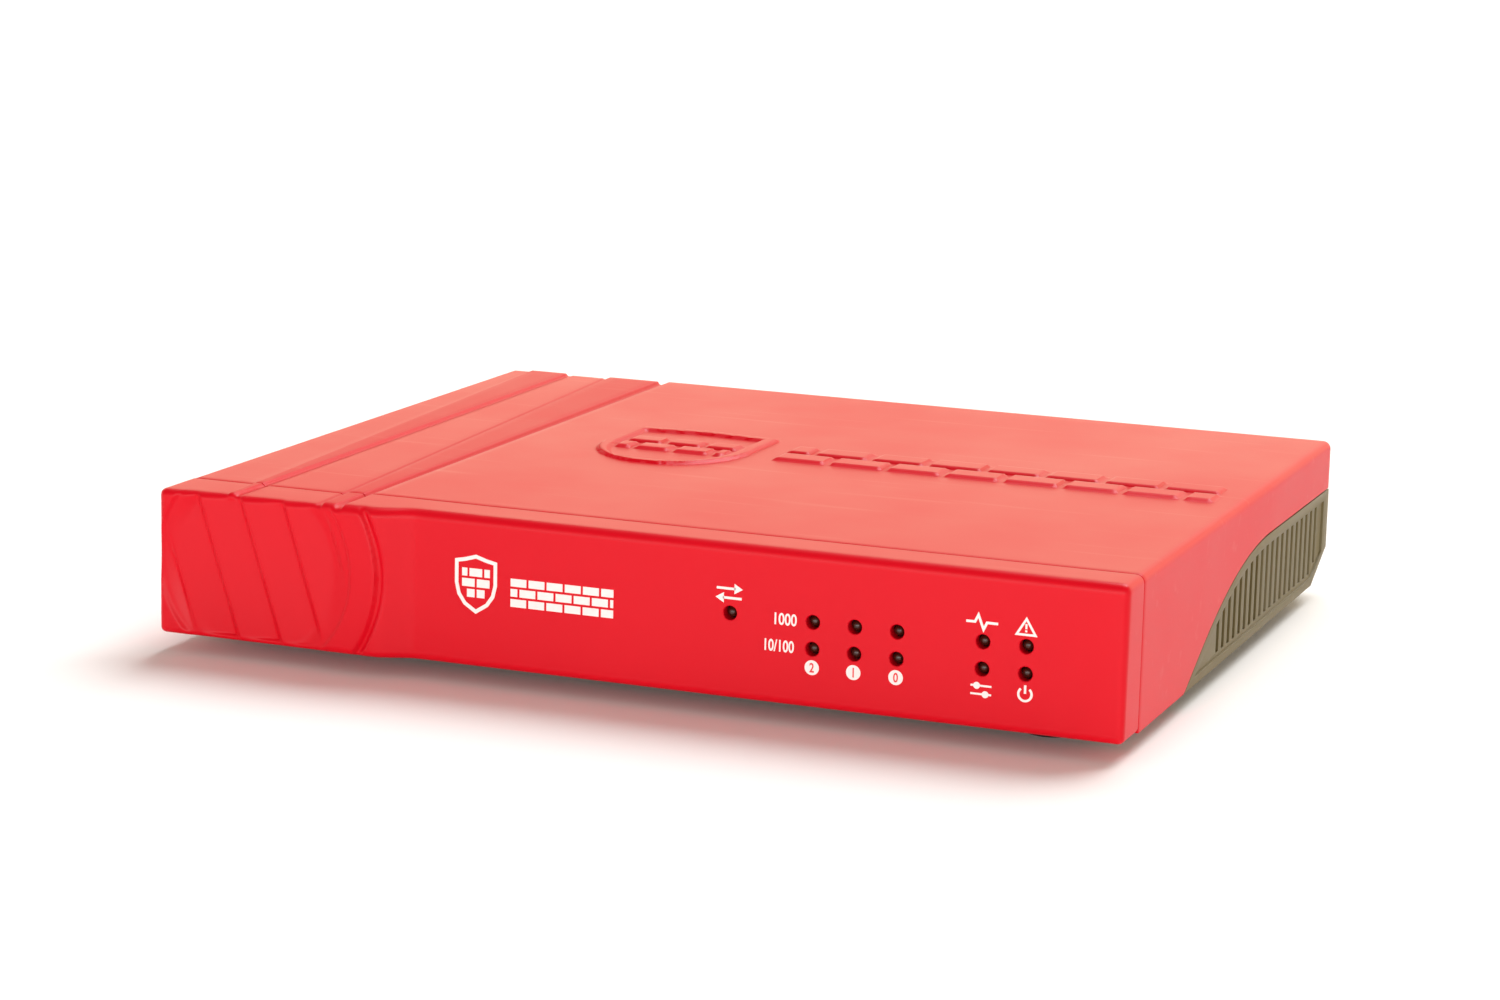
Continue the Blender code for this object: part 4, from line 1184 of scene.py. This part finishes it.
LINE = 0.45                      # width of most drawn lines, mm
BRICK_GAP = 0.45
FIGURE_HEIGHT = 2.2
PORT_COLUMNS = {"2": 130.8, "1": 138.6, "0": 146.5}
DISC_V = 7.45
DISC_RADIUS = 1.35
DISC_FIGURE_HEIGHT = 1.75
KNOB_FILM = FILM * 1.3           # a film over another film stands a little higher
FIGURE_FILM = FILM * 1.5
MARK_PLACES = {                  # right of the left side and above the case bottom, mm
    "shield": (65.0, 15.5),
    "arrow_right": (114.8, 20.1),
    "arrow_left": (114.8, 18.4),
    "pulse": (162.0, 19.1),
    "warning": (170.0, 19.0),
    "sliders": (162.2, 7.05),
    "power": (170.2, 7.2),
    "1000": (125.65, 15.65),
    "10/100": (124.55, 10.75),
}
shield_outline = [(-3.9, 4.3), (-2.0, 4.7), (0, 5.3), (2.0, 4.7), (3.9, 4.3), (3.9, 0.2)]
shield_outline += [(3.4, -1.9), (2.2, -3.6), (0, -5.0), (-2.2, -3.6), (-3.4, -1.9), (-3.9, 0.2)]
marks = moved(stroke(shield_outline, 0.7, True), *MARK_PLACES["shield"])
marks += bricks(62.2, 67.8, 15.1, 2, 3.0, 1.5, BRICK_GAP)
marks += bricks(63.2, 66.8, 13.15, 1, 2.0, 1.5, BRICK_GAP)
marks += bricks(72.0, 92.4, 12.2, 3, 3.6, 1.45, BRICK_GAP)
arrow = stroke([(-2.4, 0), (1.2, 0)], LINE) + [[(1.0, -0.95), (2.6, 0), (1.0, 0.95)]]
marks += moved(arrow, *MARK_PLACES["arrow_right"])
mirrored = [[(-a, b) for a, b in reversed(outline)] for outline in arrow]
marks += moved(mirrored, *MARK_PLACES["arrow_left"])
pulse = stroke([(-2.9, 0), (-1.3, 0), (-0.7, 1.25), (0.3, -1.25), (0.9, 0), (2.9, 0)], LINE)
marks += moved(pulse, *MARK_PLACES["pulse"])
warning = stroke([(-1.7, -1.25), (1.7, -1.25), (0, 1.55)], 0.4, True)
warning += [rectangle(-0.18, 0.18, -0.25, 0.65), rectangle(-0.18, 0.18, -0.8, -0.45)]
marks += moved(warning, *MARK_PLACES["warning"])
sliders = stroke([(-1.9, 0.75), (1.9, 0.75)], 0.35) + stroke([(-1.9, -0.75), (1.9, -0.75)], 0.35)
marks += moved(sliders, *MARK_PLACES["sliders"])
knobs = [circle(161.4, 7.8, 0.62), circle(163.0, 6.3, 0.62)]
power = stroke(circle(0, 0, 1.2, 130, 410), 0.42) + [rectangle(-0.21, 0.21, 0.1, 1.6)]
marks += moved(power, *MARK_PLACES["power"])
marks += figures("1000", *MARK_PLACES["1000"], FIGURE_HEIGHT)
marks += figures("10/100", *MARK_PLACES["10/100"], FIGURE_HEIGHT, squeeze=0.72)
film("front_marks", marks, on_front, white_ink)
film("front_slider_knobs", knobs, on_front, white_ink, thickness=KNOB_FILM)
discs = [circle(u, DISC_V, DISC_RADIUS) for u in PORT_COLUMNS.values()]
film("front_port_discs", discs, on_front, white_ink)
port_figures = []
for figure, u in PORT_COLUMNS.items():
    port_figures += figures(figure, u, DISC_V, DISC_FIGURE_HEIGHT)
film("front_port_figures", port_figures, on_front, red_ink, thickness=FIGURE_FILM)
print("front marks:", len(marks), "outlines,", len(PORT_COLUMNS), "numbered discs")


# %% [markdown]
# The rear marks use the same films. Each one is centred over the part that it names, and that
# place is read from the frame, so the marks follow if the sockets move.

# %% Marks on the rear
OVER_JACKS = 23.7                # heights of the marks above the case bottom, mm
OVER_INLET = 22.6
OVER_SMALL_PARTS = 18.6
REAR_FIGURE_HEIGHT = 2.0


def on_rear(u, v, out):
    """Seen from behind, so the reader's right is the other way; millimetres above the case bottom."""
    return Vector((-u * MM, panel_high.y + out, LOW_Z + v * MM))


def centre_of(node):
    """The middle of a framed part, in millimetres."""
    low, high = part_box(node)
    return (low + high) / 2 / MM


rear_marks = []
for port in ("0", "1", "2"):
    spot = centre_of("ethernet_jack_%s_shell" % port)
    rear_marks += figures(port, -spot.x, OVER_JACKS, REAR_FIGURE_HEIGHT)
spot = centre_of("console_jack_shell")
screen = stroke([(-1.9, -1.1), (1.9, -1.1), (1.9, 1.1), (-1.9, 1.1)], 0.3, True)
screen += stroke([(-1.1, 0.5), (-0.5, 0), (-1.1, -0.5)], 0.28) + [rectangle(0, 1.0, -0.62, -0.36)]
rear_marks += moved(screen, -spot.x, OVER_JACKS)
spot = centre_of("usb_socket_shell")
plug_end = stroke([(-1.7, -0.9), (1.7, -0.9), (1.7, 0.9), (-1.7, 0.9)], 0.3, True)
plug_end += [rectangle(-1.0, -0.3, -0.1, 0.45), rectangle(0.3, 1.0, -0.1, 0.45)]
rear_marks += moved(plug_end, -spot.x, OVER_SMALL_PARTS)
spot = centre_of("reset_button")
turn = stroke(circle(0, 0, 1.1, 60, 350), 0.32) + [[(0.4, 0.45), (1.25, 1.35), (-0.15, 1.6)]]
rear_marks += moved(turn, -spot.x, OVER_SMALL_PARTS)
spot = centre_of("dc_jack_body")
polarity = [circle(0, 0, 0.35, steps=16)] + stroke(circle(0, 0, 1.0, 40, 320), 0.28)
polarity += [rectangle(-3.3, -1.7, -0.14, 0.14), rectangle(1.7, 3.3, -0.14, 0.14)]
polarity += [rectangle(2.36, 2.64, -0.8, -0.14), rectangle(2.36, 2.64, 0.14, 0.8)]
rear_marks += moved(polarity, -spot.x, OVER_INLET)
film("rear_marks", rear_marks, on_rear, white_ink)
print("rear marks:", len(rear_marks), "outlines")


# %% [markdown]
# A rocker's bar and ring mark on and off. Its face is two flat wings that rise from a shallow
# valley at the pivot, so the films are laid on the wings, turned with the rocker as it rests, and
# ride with its body.

# %% Marks on the rocker
ROCKER_PIVOT = Vector((52, 75.4, 21.6)) * MM
ROCKER_REST_TURN = math.radians(-8)
ROCKER_HOLLOW = 0.582              # distance of the valley behind the pivot, mm
ROCKER_WING = math.radians(6.06)   # each half rises outward by this angle


def on_wing(side):
    """Half of the rocker: out along the wing and up, in millimetres."""
    def surface(u, v, out):
        along = u * MM
        rise = ROCKER_HOLLOW * MM + along * math.sin(ROCKER_WING)
        flat = Vector((along * math.cos(ROCKER_WING), rise, v * MM))
        flat += Vector((-math.sin(ROCKER_WING), math.cos(ROCKER_WING), 0)) * out
        flat.x *= side
        return ROCKER_PIVOT + Matrix.Rotation(ROCKER_REST_TURN, 3, "Z") @ flat
    return surface


bar = [rectangle(3.0, 3.35, -1.2, 1.2)]
ring = stroke(circle(3.2, 0, 1.1), 0.32, True)
film("rocker_on_mark", bar, on_wing(-1), white_ink, "power_rocker")
film("rocker_off_mark", ring, on_wing(1), white_ink, "power_rocker")
print("rocker marks ride with the rocker")


# %% [markdown]
# Inside each modular socket eight springy gold-plated wires slope down from the roof. They sit
# 1.02 mm apart. The same plate-making function draws them: their outline lies in the upright
# plane of the socket's depth, and their thickness runs sideways.

# %% Contact wires in the sockets
WIRES = 8
WIRE_PITCH = 1.016               # mm
WIRE_WIDTH = 0.3
WIRE_HALF = 0.22 * MM
# along the socket from its mouth, and up from its roof, mm
WIRE_PATH = [(-1.4, 0.1), (-2.2, -0.3), (-8.6, -2.3), (-9.6, -2.2)]
JACK_ROOF = 10.0                 # roof of the opening above the insert's underside, mm
USB_STRIPS = 4
USB_PITCH = 2.3
USB_STRIP = rectangle(-0.55, 0.55, 1.2, 8.2)
USB_STRIP_HEIGHT = 0.14 * MM
TONGUE_DROP = 2.85 * MM          # underside of the tongue below the top of the insert


def wires_in_jack(name):
    """Bent wires side by side under the roof of one modular socket."""
    low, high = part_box(name + "_insert")
    roof = low.z / MM + JACK_ROOF
    mouth = high.y / MM
    path = [(mouth + along, roof + up) for along, up in WIRE_PATH]
    bm = bmesh.new()
    for i in range(WIRES):
        x = (low.x + high.x) / 2 + (i - (WIRES - 1) / 2) * WIRE_PITCH * MM
        thicken(
            bm, stroke(path, WIRE_WIDTH),
            lambda u, v, out: Vector((x + out, u * MM, v * MM)), WIRE_HALF, -WIRE_HALF,
        )
    return finish_piece(from_bmesh(name + "_contacts", bm), gold_plate)


def strips_in_usb():
    """Flat contact strips under the tongue of the USB socket."""
    low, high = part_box("usb_socket_insert")
    bm = bmesh.new()
    for i in range(USB_STRIPS):
        x = (low.x + high.x) / 2 + (i - (USB_STRIPS - 1) / 2) * USB_PITCH * MM
        thicken(
            bm, [USB_STRIP],
            lambda u, v, out: Vector((x + u * MM, high.y - v * MM, high.z - TONGUE_DROP - out)),
            USB_STRIP_HEIGHT, -SUNK,
        )
    return finish_piece(from_bmesh("usb_contacts", bm), gold_plate)


for name in JACKS:
    wires_in_jack(name)
strips_in_usb()
print("contacts made:", len(JACKS) * WIRES, "wires and", USB_STRIPS, "strips")


# %% [markdown]
# Chips stand on rows of bent pins, and small ceramic capacitors sit close to each chip to steady
# its supply. There are dozens, so each kind is one mesh of many plates. Bent legs would be
# truer, but behind the vents only their bright rows can be seen.

# %% Small parts on the board
CHIPS_WITH_PINS = ("ethernet_switch_chip", "memory_chip", "flash_chip")
PARTS_WITH_CAPACITORS = ("processor", *CHIPS_WITH_PINS, "power_inductor")
PIN_PITCH = 0.8                  # mm, like the sizes below unless they say otherwise
PIN_MARGIN = 1.0                 # from a chip's corner to its first pin
PIN_HALF_WIDTH = 0.16
PIN_TUCK = 0.1                   # start of a pin under the chip
PIN_REACH = 0.9                  # end of a pin beside the chip
PIN_HEIGHT = 0.45 * MM
CAPACITOR_PITCH = 2.6
CAPACITOR_MARGIN = 1.2
CAPACITOR_AWAY = 1.5             # from the part that it serves
CAPACITOR_HALF = (0.5, 0.28)
CAPACITOR_HEIGHT = 0.5 * MM
board_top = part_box("main_board")[1].z


def on_board(u, v, out):
    """Millimetres to the right and back, and metres above the board."""
    return Vector((u * MM, v * MM, board_top + out))


def edges_of(node):
    """A part's edges in plan, in millimetres: left, right, front, rear."""
    low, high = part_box(node)
    return low.x / MM, high.x / MM, low.y / MM, high.y / MM


def make_pins():
    """A row of pins along the left and the right of each chip."""
    bm = bmesh.new()
    for name in CHIPS_WITH_PINS:
        left, right, front, rear = edges_of(name)
        for side, edge in ((-1, left), (1, right)):
            near, far = sorted((edge - side * PIN_TUCK, edge + side * PIN_REACH))
            for y in spread(front + PIN_MARGIN, rear - PIN_MARGIN, PIN_PITCH):
                pin = rectangle(near, far, y - PIN_HALF_WIDTH, y + PIN_HALF_WIDTH)
                thicken(bm, [pin], on_board, PIN_HEIGHT, -SUNK)
    return finish_piece(from_bmesh("chip_pins", bm), nickel_steel)


def make_capacitors():
    """Capacitors in front of and behind each part that needs them."""
    bm = bmesh.new()
    half_x, half_y = CAPACITOR_HALF
    for name in PARTS_WITH_CAPACITORS:
        left, right, front, rear = edges_of(name)
        for x in spread(left + CAPACITOR_MARGIN, right - CAPACITOR_MARGIN, CAPACITOR_PITCH):
            for y in (front - CAPACITOR_AWAY, rear + CAPACITOR_AWAY):
                plan = rectangle(x - half_x, x + half_x, y - half_y, y + half_y)
                thicken(bm, [plan], on_board, CAPACITOR_HEIGHT, -SUNK)
    return finish_piece(from_bmesh("ceramic_capacitors", bm), ceramic)


make_pins()
make_capacitors()
print("pins and capacitors stand on the board")


# %% [markdown]
# Copper tracks run from each socket to the switch chip and show as paler lines under the green
# lacquer. An image could carry them, but the same stroke function that draws the marks makes them
# as thin real plates, in order, so that no two tracks cross.

# %% Tracks from the sockets to the switch chip
PORTS = 3
TRACKS_PER_PORT = 4
TRACK_WIDTH = 0.25
TRACK_HEIGHT = 0.04 * MM
SOCKET_TRACK_PITCH = 1.2
CHIP_TRACK_PITCH = 0.8
CHIP_PORT_PITCH = 4.2
CHIP_TRACK_END = 3.0             # tracks stop this far behind the chip
SOCKET_TRACK_START = 0.5         # and start this far in front of the socket
SHORTEST_TRACK = 0.2
# Etched copper under the same lacquer: a lighter green, standing slightly proud.
track_copper = plain("masked_copper_track", "3B7A4E", 0.3, 0.05, 1.0, IOR=1.5)


def track_outlines():
    """Each track leaves a socket straight, then turns towards its own place at the chip."""
    outlines = []
    chip_x = centre_of("ethernet_switch_chip").x
    end_y = edges_of("ethernet_switch_chip")[3] + CHIP_TRACK_END
    for port in range(PORTS):
        socket = "ethernet_jack_%d_shell" % port
        start_y = edges_of(socket)[2] - SOCKET_TRACK_START
        for i in range(TRACKS_PER_PORT):
            offset = i - (TRACKS_PER_PORT - 1) / 2
            start_x = centre_of(socket).x + offset * SOCKET_TRACK_PITCH
            end_x = chip_x + (port - 1) * CHIP_PORT_PITCH + offset * CHIP_TRACK_PITCH
            turn_y = min((start_y + end_y + abs(start_x - end_x)) / 2, start_y - SHORTEST_TRACK)
            path = [(start_x, start_y), (start_x, turn_y), (end_x, end_y)]
            outlines += stroke(path, TRACK_WIDTH)
    return outlines


film(
    "board_tracks", track_outlines(), on_board, track_copper,
    thickness=TRACK_HEIGHT,
)
print("board tracks:", PORTS * TRACKS_PER_PORT)


# %% [markdown]
# The appliance stands on a plain white sheet in soft studio light. A very wide light high behind
# it brightens the sheet and leaves a soft shadow in front. A low box in front lights the face, and
# a warm card behind gives the top its sheen. The surround is bright at the horizon and dimmer
# overhead. The satin top mirrors the card and the horizon at a glancing angle, which turns its red
# to salmon, while the upright front keeps its full red.

# %% Floor, lights and surround
FLOOR_REACH = 40                 # metres: far enough that its edge is lost in the bright horizon
SHEET_FROM = Vector((0.12, 0.58, 0.8))
SHEET_SPREAD = 40                # degrees across, as seen from the appliance
SHEET_STRENGTH = 2.8
HORIZON_STRENGTH = 1.2
OVERHEAD_STRENGTH = 0.3


def soft_box(name, place_at, aim_at, size, power, code):
    """A glowing rectangle aimed at a point: metres, watts and a colour code."""
    light = bpy.data.lights.new(name, "AREA")
    light.shape = "RECTANGLE"
    light.size, light.size_y = size
    light.energy = power
    light.color = from_hex(code)[:3]
    item = bpy.data.objects.new(name, light)
    item.visible_camera = False
    item.location = place_at
    item.rotation_mode = "QUATERNION"
    item.rotation_quaternion = (Vector(aim_at) - Vector(place_at)).to_track_quat("-Z", "Y")
    bpy.context.collection.objects.link(item)
    return item


def make_floor():
    """A flat white sheet under the feet."""
    bm = bmesh.new()
    bmesh.ops.create_grid(bm, x_segments=1, y_segments=1, size=FLOOR_REACH)
    floor = from_bmesh("floor", bm)
    # Matt paper: plain white with no sheen, so only the shadow shows on it.
    paper = new_material("white_paper_sweep", Roughness=0.9)[0]
    shader = paper.node_tree.nodes["Principled BSDF"]
    shader.inputs["Base Color"].default_value = from_hex("FFFFFF")
    floor.data.materials.append(paper)
    return floor


def make_high_sheet():
    """A very wide, even light from high behind, as from a large sheet of diffusing cloth."""
    sun = bpy.data.lights.new("high_rear_sheet", "SUN")
    sun.angle = math.radians(SHEET_SPREAD)
    sun.energy = SHEET_STRENGTH
    item = bpy.data.objects.new("high_rear_sheet", sun)
    item.rotation_mode = "QUATERNION"
    item.rotation_quaternion = (-SHEET_FROM).to_track_quat("-Z", "Y")
    bpy.context.collection.objects.link(item)
    return item


def make_surround():
    """A world that is bright near the horizon and dimmer from about 30 degrees up."""
    surround = bpy.data.worlds.new("warm_white_surround")
    surround.use_nodes = True
    sky = surround.node_tree
    background = sky.nodes["Background"]
    background.inputs["Color"].default_value = from_hex("FFF7EC")
    direction = add(sky, "ShaderNodeTexCoord").outputs["Generated"]
    parts = add(sky, "ShaderNodeSeparateXYZ", links={"Vector": direction})
    strength = add(
        sky, "ShaderNodeMapRange",
        sockets={
            "From Min": 0.1, "From Max": 0.5,
            "To Min": HORIZON_STRENGTH, "To Max": OVERHEAD_STRENGTH,
        },
        links={"Value": parts.outputs["Z"]},
    )
    sky.links.new(strength.outputs["Result"], background.inputs["Strength"])
    bpy.context.scene.world = surround


make_floor()
make_high_sheet()
soft_box(
    "front_low", place_at=(0.2, -1.3, 0.14), aim_at=(0, 0, 0.02),
    size=(1.8, 0.24), power=9.4, code="FFFFFF",
)
soft_box(
    "rear_card", place_at=(0.2, 1.1, 0.32), aim_at=(0, 0, 0.03),
    size=(3.2, 0.5), power=6.0, code="FFDDA8",
)
make_surround()
bpy.context.scene.view_settings.view_transform = "Standard"


# %% [markdown]
# The camera stands to the right of the front and a little above, with a long lens, as a catalogue
# picture is taken. Its place is in millimetres in the frame's own axes.

# %% Camera
AZIMUTH = 21.43                  # degrees round from the front, to the right
ELEVATION = 11.47                # degrees above the horizon
ROLL = 1.34                      # degrees turned about the line of sight
LENS_MM = 88.3
SENSOR_MM = 36
CAMERA_AT = Vector((256.5, -666.1, 168.9)) * MM


def make_camera():
    """The camera, turned by its azimuth and elevation and then about its line of sight."""
    camera = bpy.data.objects.new("camera", bpy.data.cameras.new("camera"))
    bpy.context.collection.objects.link(camera)
    azimuth, elevation, roll = (math.radians(value) for value in (AZIMUTH, ELEVATION, ROLL))
    level_x = -math.sin(azimuth) * math.cos(elevation)
    level_y = math.cos(azimuth) * math.cos(elevation)
    ahead = Vector((level_x, level_y, -math.sin(elevation)))
    camera.location = CAMERA_AT
    camera.rotation_mode = "QUATERNION"
    level = ahead.to_track_quat("-Z", "Y")
    camera.rotation_quaternion = level @ Matrix.Rotation(roll, 3, "Z").to_quaternion()
    camera.data.lens = LENS_MM
    camera.data.sensor_width = SENSOR_MM
    camera.data.clip_start = 0.01
    camera.data.clip_end = 50
    bpy.context.scene.camera = camera
    return camera


make_camera()
print("camera", round(CAMERA_AT.length, 3), "m from the appliance")
